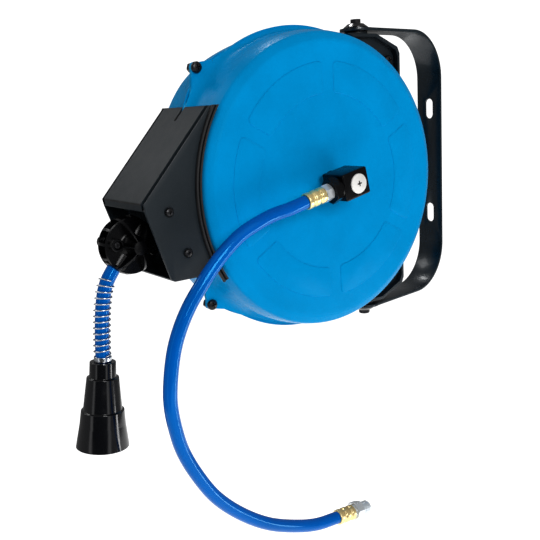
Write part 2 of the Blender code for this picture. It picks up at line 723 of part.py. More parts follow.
def fixed_inside():
    """Bush, spring arbor and its nut, clock spring, and the latch on the front shell."""
    def made(name, profile, look, steps=20, at=(0, 0, 0)):
        return finish(place(turned(name, profile, steps), at, SIDEWAYS, reel), look)

    inner_wall = FACE_X - SHELL_THICK
    made(
        "front_bush",
        [(7.4, 38.0), (14.0, 38.0), (14.0, inner_wall - GAP), (9.9, inner_wall - GAP), (9.9, 52.6), (7.4, 52.6)],
        GLOSS,
    )
    made(
        "spring_arbor",
        [(0, 3.0), (9.0, 3.0), (9.0, -37.0), (24.0, -39.0), (24.0, -inner_wall + GAP), (8.0, -inner_wall + GAP),
         (8.0, -54.0), (0, -54.0)],
        DARK_STEEL,
    )
    made(
        "arbor_nut",
        [(9.7, -FACE_X - GAP), (13.0, -FACE_X - GAP), (13.0, -52.5), (9.7, -52.5)],
        BLACK_SCREW, 6,
    )
    pivot = latch_pivot()
    made(
        "latch_pin", [(0, 33.6), (2.5, 33.6), (2.5, inner_wall - GAP), (0, inner_wall - GAP)], ZINC, 12,
        (0, *pivot),
    )


def clock_spring():
    """Flat strip wound in a spiral from the arbor to the inside of the barrel."""
    turns, steps = 5.5, 12
    inner, outer = 10.0, BARREL_RADIUS - 4.4
    count = int(turns * steps)
    mesh = bpy.data.meshes.new("clock_spring")
    shape = bmesh.new()
    rows = []
    for i in range(count + 1):
        angle = 2 * math.pi * i / steps
        radius = (inner + (outer - inner) * i / count) * MM
        rows.append([shape.verts.new((radius * math.cos(angle), radius * math.sin(angle), z * MM)) for z in (-24, 0)])
    for a, b in zip(rows, rows[1:]):
        shape.faces.new((a[0], b[0], b[1], a[1]))
    shape.to_mesh(mesh)
    shape.free()
    strip = add("clock_spring", mesh, parts)
    solid = strip.modifiers.new("Strip", "SOLIDIFY")
    solid.thickness = 1.0 * MM
    solid.offset = 0
    return finish(place(strip, (0, 0, 0), SIDEWAYS, reel), SPRING)


def latch_pivot():
    return 40.0, 46.0


def latch():
    """Pawl on a pin in the front shell, beside the ratchet ring."""
    pivot = Vector(latch_pivot())
    toward = -pivot.normalized()
    side = Vector((-toward.y, toward.x))
    tip = pivot + toward * 6.6 + side * 9.0
    outline = ring_points(5.0, 12, pivot, math.degrees(math.atan2(-toward.y, -toward.x)) - 110, 220, closed=False)
    outline += [tuple(tip + side * 1.2), tuple(tip - side * 2.6 - toward * 1.0)]
    pawl = plate("latch_pawl", [outline, ring_points(2.8, 12, pivot)], 33.8, 37.0)
    pawl.data.transform(Matrix.Translation((-pivot.x * MM, -pivot.y * MM, 0)))
    finish(place(pawl, (0, *pivot), SIDEWAYS, reel), ZINC)


# ---- Inlet swivel and hose ----


def swivel_parts():
    size = (SWIVEL_FRONT - SWIVEL_BACK, 29.0, 24.4)
    body = block("swivel_block", size, 1.4)
    place(body, ((SWIVEL_FRONT + SWIVEL_BACK) / 2, -1.5, 0), Matrix.Identity(3), swivel)
    bore = turned(
        "swivel_bore",
        [(0, 40.0), (7.4, 40.0), (7.4, 60.0), (9.3, 60.0), (9.3, 62.4), (7.4, 62.4), (7.4, 95.0), (0, 95.0)],
        20, cutters,
    )
    combine(body, place(bore, (0, 0, 0), SIDEWAYS, swivel))
    inlet = along((0, -1, 0))
    port = rod("swivel_port", 4.6, 2.0, 30.0)
    combine(body, place(port, (INLET_X, 0, 0), inlet, swivel))
    finish(body, BLACK)
    ring = turned("swivel_o_ring", ring_points(0.8, 6, (8.4, 61.2)), 18)
    finish(place(ring, (0, 0, 0), SIDEWAYS, swivel), RUBBER)


def on_inlet(name, profile, look, steps):
    """A turned piece on the inlet's axis; heights count from the drum's axis."""
    obj = turned(name, profile, steps)
    return finish(place(obj, (INLET_X, 0, 0), along((0, -1, 0)), swivel), look)


def inlet_parts():
    adapter = rod("inlet_adapter", 12.2, 16.3, 25.4, 6, parts)
    turn = along((0, -1, 0))
    place(adapter, (INLET_X, 0, 0), turn, swivel)
    spigot = rod("adapter_spigot", 4.2, 10.0, 17.0, 20)
    combine(adapter, place(spigot, (INLET_X, 0, 0), turn, swivel), "UNION")
    passage = rod("adapter_passage", 3.2, 5.0, 30.0, 16)
    combine(adapter, place(passage, (INLET_X, 0, 0), turn, swivel))
    finish(adapter, BLACK)
    on_inlet("inlet_nipple", [(3.2, 25.7), (8.0, 25.7), (8.0, 33.6), (3.2, 33.6)], ZINC, 6)
    on_inlet("inlet_ferrule", ferrule_profile(33.9), BRASS, 18)


FERRULE_LENGTH = 19.6


def ferrule_profile(low):
    """Crimped hose ferrule: a plain sleeve with two rolled grooves."""
    shape = [(7.3, 0.0), (7.3, 4.4), (6.5, 6.0), (7.3, 7.6), (7.3, 12.0), (6.5, 13.6), (7.3, 15.2),
             (7.3, FERRULE_LENGTH)]
    outside = [(radius, low + height) for radius, height in shape]
    return [*outside, (3.5, low + FERRULE_LENGTH), (3.5, low)]


def inlet_hose():
    """The hose from the inlet ferrule round to the threaded end fitting."""
    tilt = math.radians(SWIVEL_TILT_DEG)
    run = 33.9 + FERRULE_LENGTH + GAP
    start = Vector((INLET_X, -run * math.cos(tilt), -run * math.sin(tilt)))
    knots = [start, *(Vector(point) for point in INLET_ROUTE), Vector(INLET_END)]
    hose = tube("inlet_hose", smooth_route(knots, 15.0), HOSE_RADIUS)
    finish(place(hose, (0, 0, 0), Matrix.Identity(3), reel), HOSE_BLUE)
    level = math.radians(INLET_END_TILT_DEG)
    turn = along((0, math.cos(level), -math.sin(level)))
    ferrule = turned("end_ferrule", ferrule_profile(GAP), 18)
    finish(place(ferrule, INLET_END, turn, reel), BRASS)
    low = GAP + FERRULE_LENGTH + GAP
    fitting = turned(
        "end_fitting",
        [(3.5, low), (6.6, low), (6.6, low + 20.0), (5.9, low + 21.0), (3.5, low + 21.0)],
        18,
    )
    place(fitting, INLET_END, turn, reel)
    hexagon = rod("fitting_hexagon", 9.8, low + 1.0, low + 9.5, 6)
    combine(fitting, place(hexagon, INLET_END, turn, reel), "UNION")
    finish(fitting, ZINC)


# ---- Outlet hose, spring guard and bell ----


def hose_lead():
    """The hose from the winding to the middle of the ball."""
    angle = math.radians(LEAD_START_DEG)
    radius = WINDING_RADIUS + HOSE_RADIUS + GAP
    start = Vector((0, -radius * math.sin(angle), radius * math.cos(angle)))
    centre = Vector((0, *BALL_CENTRE))
    entry = centre - slope(BALL_TILT_DEG) * BALL_RADIUS
    reach = (entry - start).length / 3
    second = start + slope(LEAD_START_DEG) * reach
    third = entry - slope(BALL_TILT_DEG) * reach
    knots = []
    for i in range(9):
        t = i / 8
        knots.append(
            start * (1 - t) ** 3 + second * 3 * t * (1 - t) ** 2 + third * 3 * t * t * (1 - t) + entry * t**3
        )
    lead = tube("hose_lead", [*knots, centre - slope(BALL_TILT_DEG) * GAP / 2], HOSE_RADIUS)
    return finish(place(lead, (0, 0, 0), Matrix.Identity(3), reel), HOSE_BLUE)


def outlet_points(spacing):
    """Centre line of the free outlet hose from the middle of the ball into the bell."""
    down = slope(90 - BELL_TILT_DEG)
    top = Vector((0, *BELL_TOP))
    start = Vector((0, *BALL_CENTRE)) + slope(BALL_TILT_DEG) * GAP / 2
    knots = [start, *(Vector((0, *point)) for point in OUTLET_ROUTE), top, top + down * HOSE_INTO_BELL]
    return smooth_route(knots, spacing)


def spring_guard():
    """Open-coil wire guard round the outlet hose, wound along its centre line."""
    fine = outlet_points(2.0)
    lengths = [0.0]
    for a, b in zip(fine, fine[1:]):
        lengths.append(lengths[-1] + (b - a).length)
    first, last = 34.0, lengths[-1] - HOSE_INTO_BELL - 5.6
    steps = GUARD_TURNS * 8
    coil = []
    at = 0
    for i in range(steps + 1):
        want = first + (last - first) * i / steps
        while lengths[at + 1] < want:
            at += 1
        share = (want - lengths[at]) / (lengths[at + 1] - lengths[at])
        centre = fine[at].lerp(fine[at + 1], share)
        forward = (fine[at + 1] - fine[at]).normalized()
        across = Vector((1, 0, 0))
        third = forward.cross(across)
        turn = 2 * math.pi * i / 8
        coil.append(centre + (across * math.cos(turn) + third * math.sin(turn)) * (HOSE_RADIUS + 0.9 + GUARD_WIRE))
    guard = tube("spring_guard", coil, GUARD_WIRE, 0)
    return finish(place(guard, (0, 0, 0), Matrix.Identity(3), reel), SPRING)


def bell_parts():
    turn = along(slope(90 - BELL_TILT_DEG))
    top = (0, *BELL_TOP)

    def made(name, profile, look, steps=24):
        return finish(place(turned(name, profile, steps), top, turn, reel), look)

    bore = HOSE_RADIUS + 0.4
    made("guard_ferrule", [(bore, -4.6), (7.5, -4.6), (7.5, -0.3), (bore, -0.3)], ZINC)
    made(
        "end_bell",
        [(bore, 0.0), (11.2, 0.0), (11.2, 13.0), (13.8, 13.2), (16.4, 42.0), (18.4, 42.2), (22.8, BELL_LENGTH),
         (20.4, BELL_LENGTH), (16.0, 44.4), (14.0, 43.0), (11.8, 16.0), (bore, 11.0)],
        GLOSS,
    )
    low = HOSE_INTO_BELL + GAP
    made(
        "coupler",
        [(3.0, low), (5.8, low), (5.8, 22.0), (8.2, 22.6), (8.2, 30.0), (10.6, 31.0), (10.6, 54.0), (9.4, 55.0),
         (9.4, 62.0), (5.0, 62.0), (5.0, 42.0), (3.0, 40.0)],
        ZINC,
    )


wall_bracket()
pivot_set("upper", 1)
pivot_set("lower", -1)
housing_shell("front_shell", 1, 10.3, FRONT_SECTION)
housing_shell("rear_shell", -1, 8.4, REAR_SECTION)
for label, ear, web in zip(
    ("upper_lug", "upper_ear", "lower_ear", "lower_lug"), EARS, (LUG_WEB[1] + 0.8, 1.75, 1.75, LUG_WEB[1] + 0.8)
):
    screw_and_nut(label, polar(*ear), web + GAP, -1.75 - GAP)
nose()
nose_seal("front_nose_seal", 1)
nose_seal("rear_nose_seal", -1)
mouth_plate()
for number, (screw_at, screw_side) in enumerate(((p, s) for p in GUIDE_SCREWS for s in (1, -1)), 1):
    guide_screw(f"guide_screw_{number}", screw_at, screw_side)
stopper_half("front_stopper_half", 1)
stopper_half("rear_stopper_half", -1)
for number, screw_at in enumerate(stopper_screw_places(), 1):
    stopper_screw(f"stopper_screw_{number}", screw_at)
drum_parts()
fixed_inside()
clock_spring()
latch()
swivel_parts()
inlet_parts()
inlet_hose()
hose_lead()
outlet_hose = tube("outlet_hose", outlet_points(14.0), HOSE_RADIUS)
finish(place(outlet_hose, (0, 0, 0), Matrix.Identity(3), reel), HOSE_BLUE)
spring_guard()
bell_parts()
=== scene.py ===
"""Looks of the wall-mounted air hose reel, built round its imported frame, in metres, +Z up.

Shapes are drawn in millimetres in the reel's own frame: its origin is the middle of the drum,
+X runs along the drum's axis to the air inlet, and +Y points to the wall side.
"""

import json
import math

import bmesh
import bpy
from mathutils import Matrix, Vector


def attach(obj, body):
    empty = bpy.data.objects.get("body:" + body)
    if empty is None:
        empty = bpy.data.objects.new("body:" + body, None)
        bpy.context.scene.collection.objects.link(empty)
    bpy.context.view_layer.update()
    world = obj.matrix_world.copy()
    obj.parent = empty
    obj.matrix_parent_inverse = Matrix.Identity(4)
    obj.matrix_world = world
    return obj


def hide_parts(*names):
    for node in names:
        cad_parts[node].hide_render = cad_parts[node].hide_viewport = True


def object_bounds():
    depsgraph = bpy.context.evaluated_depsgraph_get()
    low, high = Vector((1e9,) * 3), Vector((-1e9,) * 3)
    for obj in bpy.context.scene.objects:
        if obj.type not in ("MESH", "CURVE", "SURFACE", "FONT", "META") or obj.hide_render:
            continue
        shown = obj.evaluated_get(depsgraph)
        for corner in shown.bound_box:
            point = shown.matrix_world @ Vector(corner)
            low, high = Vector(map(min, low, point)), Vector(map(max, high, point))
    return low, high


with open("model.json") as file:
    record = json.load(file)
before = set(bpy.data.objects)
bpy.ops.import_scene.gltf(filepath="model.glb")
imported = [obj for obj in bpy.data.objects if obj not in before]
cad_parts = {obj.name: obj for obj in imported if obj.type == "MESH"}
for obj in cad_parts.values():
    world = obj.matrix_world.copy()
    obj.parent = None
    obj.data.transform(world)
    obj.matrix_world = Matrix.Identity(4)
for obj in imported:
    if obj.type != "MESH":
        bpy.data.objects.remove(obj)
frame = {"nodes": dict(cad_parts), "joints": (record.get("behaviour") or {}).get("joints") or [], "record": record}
for imported in list(bpy.data.materials):
    bpy.data.materials.remove(imported)
cad_box = [list(corner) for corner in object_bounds()]

MM = 0.001
GAP = 0.3  # clearance between neighbouring parts, as in the CAD

# Camera: the photograph's viewpoint, in metres and degrees, with its framing in pixels
CAMERA_PLACE = (0.4917, -0.7315, 0.0693)
CAMERA_AZIMUTH_DEG, CAMERA_DOWN_DEG, CAMERA_ROLL_DEG = 46.73, 12.33, -3.39
CAMERA_LENS, CAMERA_SHIFT_PX, IMAGE_PX = 49.45, (2.8, 1.3), 540

# Wall bracket
STRAP_WIDTH, STRAP_THICK = 30.0, 3.0
ARM_Z, PIVOT_Y = 142.0, -128.4
BEND_RADIUS, EYE_RADIUS = 50.0, 16.0
SLOT_Z, SLOT_WIDTH, SLOT_LENGTH = 59.0, 10.0, 22.0
EYE_HOLE_RADIUS = 6.3

# Swing pivots
PIVOT_BEHIND_DRUM = 77.3
# Lug blocks: outside faces, half width and wall, web between two heights, and ribs from foot to head
LUG_TOP, LUG_BACK, LUG_HALF, LUG_WALL = 136.0, 123.0, 15.0, 3.2
LUG_WEB = (5.6, 8.6)
LUG_RIBS = (((80.6, 122.0), (88.4, 134.5)), ((106.0, 106.4), (113.0, 128.6)))
LUG_RIB_HALF, BOLT_HOLE_RADIUS, BOLT_HEX_RADIUS = 1.1, 3.4, 5.77

# Housing
FACE_X, FACE_RADIUS = 46.0, 126.8
SHELL_THICK = 1.6
SHOULDERS = {  # (radius, height) from the face round to the wall, for each side
    1: ((FACE_RADIUS, FACE_X), (134.8, 41.2), (137.3, 30.0), (138.0, 22.6)),
    -1: ((132.0, FACE_X), (137.6, 43.0), (138.8, 30.0), (139.0, 22.6)),
}
FLANGE_RADIUS, FLANGE_HALF = 144.5, 1.75
# Ears: tip radius, half angle on the flange, and how far round the wall flares into one
EAR_TIP, EAR_REACH_DEG, FLARE_REACH_DEG = 4.8, 8.5, 24
# Opening in the wall, behind the nose
MOUTH_DEG, MOUTH_X, MOUTH_RADIUS = (153, 177), 20, 130
# (radius, angle in degrees) of each ear's screw, from the wall side's upper one round
EARS = ((156.0, 45.0), (154.4, 135.7), (152.9, 222.6), (156.0, 315.0))
NOSE_EARS_DEG = [middle for _, middle in EARS[1:3]]
PADS, PAD_OUTER, PAD_INNER = 6, 108.4, 80.2
PAD_GAP, PAD_HEIGHT, PAD_SUNK, PAD_CORNER = 12.5, 0.6, 0.9, 4.0

# Outlet nose and ball stopper
NOSE_HALF, NOSE_WALL = 41.0, 2.5
NOSE_TOP = ((-124.3, 75.0), (-190.9, 1.0))
GROOVE_X, GROOVE_WIDTH, LIP_X, SLIT_WIDTH = 38.1, 4.2, 42.0, 3.6
GUIDE_SCREWS = ((-168.7, -7.7), (-154.3, -43.5))
SEAL_TOP_Z, SEAL_END_DEG = 75.3, 211.2
HOSE_RADIUS = 6.0
BALL_CENTRE, BALL_RADIUS, BALL_TILT_DEG = (-188.5, -36.3), 25.0, 50.0
STOPPER_SCREW_ACROSS, STOPPER_SCREW_ALONG = 14.6, 7.5

# Inlet swivel, and the hoses' routes
SWIVEL_TILT_DEG = 12.0
SWIVEL_BACK, SWIVEL_FRONT, INLET_X = 53.4, 82.0, 72.0
FERRULE_LOW, FERRULE_LENGTH = 33.9, 19.6
INLET_ROUTE = (
    (72, -69, -15), (71, -86, -18), (71, -103, -23), (70, -119, -30), (70, -134, -40),
    (69, -148, -53), (69, -160, -66), (68, -171, -80), (68, -181, -96), (67, -188, -114),
    (67, -193, -135), (66, -195, -157), (66, -193, -179), (65, -187, -203), (64, -175, -229),
    (63, -158, -256), (62, -134, -281), (62, -106, -302), (61, -76, -317), (61, -49, -326),
)
INLET_END, INLET_END_TILT_DEG = (61.0, -23.0, -329.0), 4.5
OUTLET_ROUTE = ((-205.2, -56.2), (-212.6, -68.0), (-217.0, -84.0), (-219.6, -102.0), (-221.2, -118.0))
BELL_TOP, BELL_TILT_DEG, BELL_LENGTH = (-222.1, -131.6), 6.4, 74.5
HOSE_INTO_BELL = 13.0
# The guard's ends are measured along the hose from the ball's middle, and from the bell's top
GUARD_TURNS, GUARD_WIRE, GUARD_START, GUARD_END = 13, 0.65, 34.0, 5.6

spin = next(joint for joint in frame["joints"] if joint["name"] == "drum_spin")
drum_axis = Vector(spin["axis"])
wallward = Vector((0, 0, 1)).cross(drum_axis)
WORLD = Matrix.Identity(4)
REEL = Matrix.Translation(spin["pos_m"]) @ Matrix((drum_axis, wallward, (0, 0, 1))).transposed().to_4x4()
SWIVEL = REEL @ Matrix.Rotation(math.radians(SWIVEL_TILT_DEG), 4, "X")

# Local Z becomes the reel's X, local X its Y, and local Y its Z
SIDEWAYS = Matrix(((0, 0, 1), (1, 0, 0), (0, 1, 0))).to_4x4()
HERE = Matrix.Identity(4)


# ---- Camera ----


def make_camera():
    """The photograph's viewpoint: a little above the reel, towards its outlet and inlet sides."""
    azimuth, down, roll = (
        math.radians(angle) for angle in (CAMERA_AZIMUTH_DEG, CAMERA_DOWN_DEG, CAMERA_ROLL_DEG)
    )
    forward = Vector(
        (-math.sin(azimuth) * math.cos(down), math.cos(azimuth) * math.cos(down), -math.sin(down))
    )
    right = forward.cross(Vector((0, 0, 1))).normalized()
    up = right.cross(forward)
    right, up = (
        right * math.cos(roll) + up * math.sin(roll),
        up * math.cos(roll) - right * math.sin(roll),
    )
    data = bpy.data.cameras.new("camera")
    camera = bpy.data.objects.new("camera", data)
    bpy.context.scene.collection.objects.link(camera)
    turn = Matrix((right, up, -forward)).transposed().to_4x4()
    camera.matrix_world = Matrix.Translation(CAMERA_PLACE) @ turn
    data.lens = CAMERA_LENS
    data.shift_x, data.shift_y = (shift / IMAGE_PX for shift in CAMERA_SHIFT_PX)
    data.clip_end = 20
    bpy.context.scene.camera = camera


# ---- Materials ----


def surface(
    name, colour, roughness, metallic=0.0, tone=0.12, grain=(900.0, 0.02), spread=0.08,
    coat=0.0, specular=0.5, tint=(1, 1, 1), fleck=None, edge_wear_and_glint=None,
):
    """A finish with uneven colour, a fine raised grain and patchy gloss.

    tone is how far the colour varies, spread how far the roughness does, and grain is (scale, height
    in mm). fleck is the colour of fine specks, and edge_wear_and_glint that of sharp edges: rubbed
    wear on most finishes, and a painted highlight along the blue paint's rolled edges.
    """
    made = bpy.data.materials.new(name)
    made.use_nodes = True
    nodes, links = made.node_tree.nodes, made.node_tree.links
    shader = nodes["Principled BSDF"]
    shader.inputs["Metallic"].default_value = metallic
    shader.inputs["Coat Weight"].default_value = coat
    shader.inputs["Coat Roughness"].default_value = 0.1
    shader.inputs["Specular IOR Level"].default_value = specular
    shader.inputs["Specular Tint"].default_value = (*tint, 1)
    where = nodes.new("ShaderNodeTexCoord")

    def noise(scale, detail=3.0):
        node = nodes.new("ShaderNodeTexNoise")
        node.inputs["Scale"].default_value = scale
        node.inputs["Detail"].default_value = detail
        links.new(where.outputs["Object"], node.inputs["Vector"])
        return node

    def blend(factor, low, high):
        node = nodes.new("ShaderNodeMix")
        node.data_type = "RGBA"
        links.new(factor, node.inputs["Factor"])
        for socket, value in ((node.inputs["A"], low), (node.inputs["B"], high)):
            if isinstance(value, tuple):
                socket.default_value = (*value, 1)
            else:
                links.new(value, socket)
        return node.outputs["Result"]

    def ranged(value, low, high, to_low, to_high):
        node = nodes.new("ShaderNodeMapRange")
        for socket, number in zip(node.inputs[1:5], (low, high, to_low, to_high)):
            socket.default_value = number
        links.new(value, node.inputs["Value"])
        return node.outputs["Result"]

    dark = tuple(part * (1 - tone) for part in colour)
    light = tuple(min(1.0, part * (1 + tone)) for part in colour)
    paint = blend(ranged(noise(22.0, 5.0).outputs["Fac"], 0.35, 0.65, 0, 1), dark, light)
    if fleck:
        spots = ranged(noise(1400.0, 2.0).outputs["Fac"], 0.60, 0.68, 0, 0.55)
        paint = blend(spots, paint, fleck)
    # Sharp edges get a lighter colour: rubbed wear on most finishes, and on the blue paint a painted highlight.
    if edge_wear_and_glint:
        geometry = nodes.new("ShaderNodeNewGeometry")
        edges = ranged(geometry.outputs["Pointiness"], 0.53, 0.60, 0, 1)
        patch = nodes.new("ShaderNodeMath")
        patch.operation = "MULTIPLY"
        links.new(edges, patch.inputs[0])
        links.new(ranged(noise(160.0).outputs["Fac"], 0.42, 0.62, 0, 0.7), patch.inputs[1])
        paint = blend(patch.outputs["Value"], paint, edge_wear_and_glint)
    links.new(paint, shader.inputs["Base Color"])
    gloss = noise(75.0, 4.0)
    links.new(
        ranged(gloss.outputs["Fac"], 0.3, 0.7, max(0.02, roughness - spread), roughness + spread),
        shader.inputs["Roughness"],
    )
    bump = nodes.new("ShaderNodeBump")
    bump.inputs["Strength"].default_value = 1.0
    bump.inputs["Distance"].default_value = grain[1] * MM
    links.new(noise(grain[0], 3.0).outputs["Fac"], bump.inputs["Height"])
    links.new(bump.outputs["Normal"], shader.inputs["Normal"])
    return made


# The blue paint's edge colour is a painted highlight along the shell's rolled edges and flange.
BLUE = surface(
    "blue_powder_coat", (0.0, 0.26, 0.565), 0.27, tone=0.05, grain=(620.0, 0.16), specular=0.05,
    tint=(0.1, 0.65, 1.0), fleck=(0.0, 0.30, 0.65), edge_wear_and_glint=(0.04, 0.42, 0.70),
)
BLACK = surface(
    "black_plastic", (0.011, 0.017, 0.022), 0.44, tone=0.05, grain=(1500.0, 0.06), spread=0.03,
    specular=0.3, fleck=(0.019, 0.026, 0.033),
)
GLOSS = surface(
    "glossy_black", (0.003, 0.0035, 0.005), 0.14, grain=(300.0, 0.015), spread=0.04, specular=0.6,
)
SATIN = surface(
    "black_plastic_satin", (0.002, 0.0022, 0.003), 0.26, grain=(700.0, 0.03), spread=0.06, specular=0.22,
)
DARK_STEEL = surface(
    "dark_coated_steel", (0.003, 0.010, 0.016), 0.32, metallic=0.2, grain=(800.0, 0.10), coat=0.2,
    fleck=(0.014, 0.022, 0.03), edge_wear_and_glint=(0.06, 0.07, 0.08),
)
RUBBER = surface("black_rubber", (0.010, 0.010, 0.011), 0.6, grain=(1200.0, 0.06), spread=0.12)
HOSE_BLUE = surface(
    "blue_hose", (0.0, 0.105, 0.44), 0.09, tone=0.08, grain=(180.0, 0.02), spread=0.02,
    tint=(0.1, 0.62, 1.0),
)
BRASS = surface(
    "brass", (0.92, 0.72, 0.36), 0.26, metallic=0.8, tone=0.14, grain=(700.0, 0.02), spread=0.09,
    edge_wear_and_glint=(0.95, 0.80, 0.50),
)
PALE_ZINC = surface(
    "zinc_plated_pale", (0.86, 0.85, 0.82), 0.45, metallic=0.5, tone=0.05, grain=(1100.0, 0.02),
)
ZINC = surface(
    "zinc_plated_steel", (0.80, 0.84, 0.87), 0.30, metallic=0.75, grain=(1100.0, 0.03),
    fleck=(0.58, 0.62, 0.70),
)
BLACK_SCREW = surface(
    "black_screw", (0.014, 0.014, 0.016), 0.3, metallic=0.4, grain=(1500.0, 0.03),
    edge_wear_and_glint=(0.08, 0.08, 0.085),
)
SPRING = surface("spring_steel", (0.55, 0.58, 0.62), 0.22, metallic=1.0, grain=(1200.0, 0.02))
SLOT_LOOKS = {
    look.name: look
    for look in (BLUE, BLACK, GLOSS, DARK_STEEL, RUBBER, HOSE_BLUE, BRASS, ZINC, BLACK_SCREW, SPRING)
}


# ---- Shape helpers: every mesh is made in metres in its own frame ----


def new_object(name, data):
    made = bpy.data.objects.new(name, data)
    bpy.context.scene.collection.objects.link(made)
    return made


def mesh_object(name, shape):
    """An object with the shape's mesh as it is."""
    mesh = bpy.data.meshes.new(name)
    shape.to_mesh(mesh)
    shape.free()
    return new_object(name, mesh)


def solid_object(name, shape, where=HERE):
    """A closed body with its normals outwards, moved by the matrix."""
    bmesh.ops.remove_doubles(shape, verts=shape.verts, dist=1e-7)
    bmesh.ops.recalc_face_normals(shape, faces=shape.faces)
    made = mesh_object(name, shape)
    made.data.transform(where)
    if where.determinant() < 0:
        made.data.flip_normals()
    return made


def polar(radius, degrees):
    angle = math.radians(degrees)
    return radius * math.cos(angle), radius * math.sin(angle)


def arc(radius, count, centre=(0.0, 0.0), start=0.0, sweep=360.0, closed=True):
    """Points round a circle or along an arc of it; an open arc includes both ends."""
    spaces = count if closed else count - 1
    return [
        (centre[0] + a, centre[1] + b)
        for a, b in (polar(radius, start + sweep * i / spaces) for i in range(count))
    ]


def soften(points, reach, closed=True, steps=4):
    """The outline with each corner drawn as a short curve that starts the reach away from it."""
    knots = [Vector(point) for point in points]
    out = []
    last = len(knots) - 1
    for i, corner in enumerate(knots):
        if not closed and i in (0, last):
            out.append(tuple(corner))
            continue
        before, after = knots[i - 1], knots[(i + 1) % len(knots)]
        near = corner + (before - corner) * min(0.45, reach / max((before - corner).length, 1e-6))
        far = corner + (after - corner) * min(0.45, reach / max((after - corner).length, 1e-6))
        for step in range(steps + 1):
            t = step / steps
            out.append(tuple(near * (1 - t) ** 2 + corner * 2 * t * (1 - t) + far * t * t))
    return out


def lathe(name, profile, steps=64, where=HERE, start=0.0, sweep=360.0):
    """A closed outline of (radius, height) points turned about local Z, or through part of a turn."""
    shape = bmesh.new()
    whole = sweep == 360.0
    rows = []
    for i in range(steps if whole else steps + 1):
        a = math.radians(start + sweep * i / steps)
        rows.append(
            [shape.verts.new((r * math.cos(a) * MM, r * math.sin(a) * MM, h * MM)) for r, h in profile]
        )
    count = len(profile)
    pairs = list(zip(rows, rows[1:] + rows[:1] if whole else rows[1:]))
    for row, following in pairs:
        for i in range(count):
            j = (i + 1) % count
            if profile[i][0] < 1e-9 and profile[j][0] < 1e-9:
                continue
            shape.faces.new((row[i], row[j], following[j], following[i]))
    if not whole:
        shape.faces.new(rows[0])
        shape.faces.new(rows[-1])
    bmesh.ops.dissolve_degenerate(shape, edges=shape.edges, dist=1e-8)
    return solid_object(name, shape, where)


def prism(name, outline, low, high, where=HERE):
    """A flat outline drawn out from low to high along local Z."""
    shape = bmesh.new()
    bottom = [shape.verts.new((u * MM, v * MM, low * MM)) for u, v in outline]
    top = [shape.verts.new((u * MM, v * MM, high * MM)) for u, v in outline]
    shape.faces.new(bottom)
    shape.faces.new(top)
    for i in range(len(outline)):
        j = (i + 1) % len(outline)
        shape.faces.new((bottom[i], bottom[j], top[j], top[i]))
    return solid_object(name, shape, where)


def brick(name, size, where=HERE):
    u, v, w = (part / 2 for part in size)
    return prism(name, [(-u, -v), (u, -v), (u, v), (-u, v)], -w, w, where)


def at(x, y, z):
    return Matrix.Translation(Vector((x, y, z)) * MM)


def along(direction):
    """A turn that takes local Z to the direction, keeping local Y near the reel's X."""
    z = Vector(direction).normalized()
    y = Vector((1, 0, 0)) if abs(z.x) < 0.9 else Vector((0, 1, 0))
    x = y.cross(z).normalized()
    return Matrix((x, z.cross(x), z)).transposed().to_4x4()


def sided(side):
    """Half a turn about local X for the rear or lower one of a pair, or none for the other."""
    return HERE if side > 0 else Matrix.Rotation(math.pi, 4, "X")


def slope(degrees):
    """Unit vector in the drum's plane, pointing away from the wall and down by the angle."""
    return Vector((0, -math.cos(math.radians(degrees)), -math.sin(math.radians(degrees))))


def settle(obj):
    """Replaces the object's mesh with what its modifiers give."""
    bpy.context.view_layer.update()
    graph = bpy.context.evaluated_depsgraph_get()
    mesh = bpy.data.meshes.new_from_object(obj.evaluated_get(graph))
    obj.modifiers.clear()
    obj.data = mesh
    return obj


def carve(obj, other, operation="DIFFERENCE"):
    """Cuts the other body out of the object, or keeps only what both hold, and removes the other."""
    boolean = obj.modifiers.new("Shape", "BOOLEAN")
    boolean.operation = operation
    boolean.object = other
    boolean.solver = "EXACT"
    settle(obj)
    bpy.data.objects.remove(other, do_unlink=True)
    return obj


def round_edges(obj, width, segments=2, angle=40.0):
    rounding = obj.modifiers.new("Edges", "BEVEL")
    rounding.width = width * MM
    rounding.segments = segments
    rounding.limit_method = "ANGLE"
    rounding.angle_limit = math.radians(angle)
    rounding.use_clamp_overlap = True
    return settle(obj)


def merge(first, *others):
    """Adds the other closed bodies to the first object's mesh."""
    shape = bmesh.new()
    shape.from_mesh(first.data)
    for other in others:
        shape.from_mesh(other.data)
        bpy.data.objects.remove(other, do_unlink=True)
    shape.to_mesh(first.data)
    shape.free()


def dress(obj, look, body, nodes, where=REEL, crease=32.0):
    """Puts a finished piece in its frame, on its body, in place of its CAD nodes."""
    obj.data.materials.clear()
    obj.data.materials.append(look)
    if obj.type == "MESH":
        obj.data.shade_smooth()
        obj.data.set_sharp_from_angle(angle=math.radians(crease))
    obj.matrix_world = where
    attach(obj, body)
    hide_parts(*nodes)
    return obj


def paint_shade(obj, sunk):
    """Paints the faces in a recess dark with the black rubber look: painted shade for the shadow that the recess
    holds.
    """
    obj.data.materials.append(RUBBER)
    for face in obj.data.polygons:
        if sunk(face.center / MM):
            face.material_index = 1


def hexagon(name, radius, low, high, where, turn):
    """A hexagonal head or nut with turned chamfers; the radius is to its corners."""
    drop = radius * 0.10
    bar = prism(name, arc(radius, 6, start=turn), low, high, where)
    form = [
        (0, low), (radius * 0.88, low), (radius * 1.01, low + drop), (radius * 1.01, high - drop),
        (radius * 0.88, high), (0, high),
    ]
    return carve(bar, lathe("chamfers", form, 48, where), "INTERSECT")


def cross_recess(obj, size, width, top, depth, where):
    """Cuts a cross driver recess into a screw's head."""
    for degrees in (12, 102):
        turn = Matrix.Rotation(math.radians(degrees), 4, "Z")
        carve(obj, brick("recess", (size, width, 2 * depth), where @ at(0, 0, top) @ turn))
    return obj


# ---- Routes ----


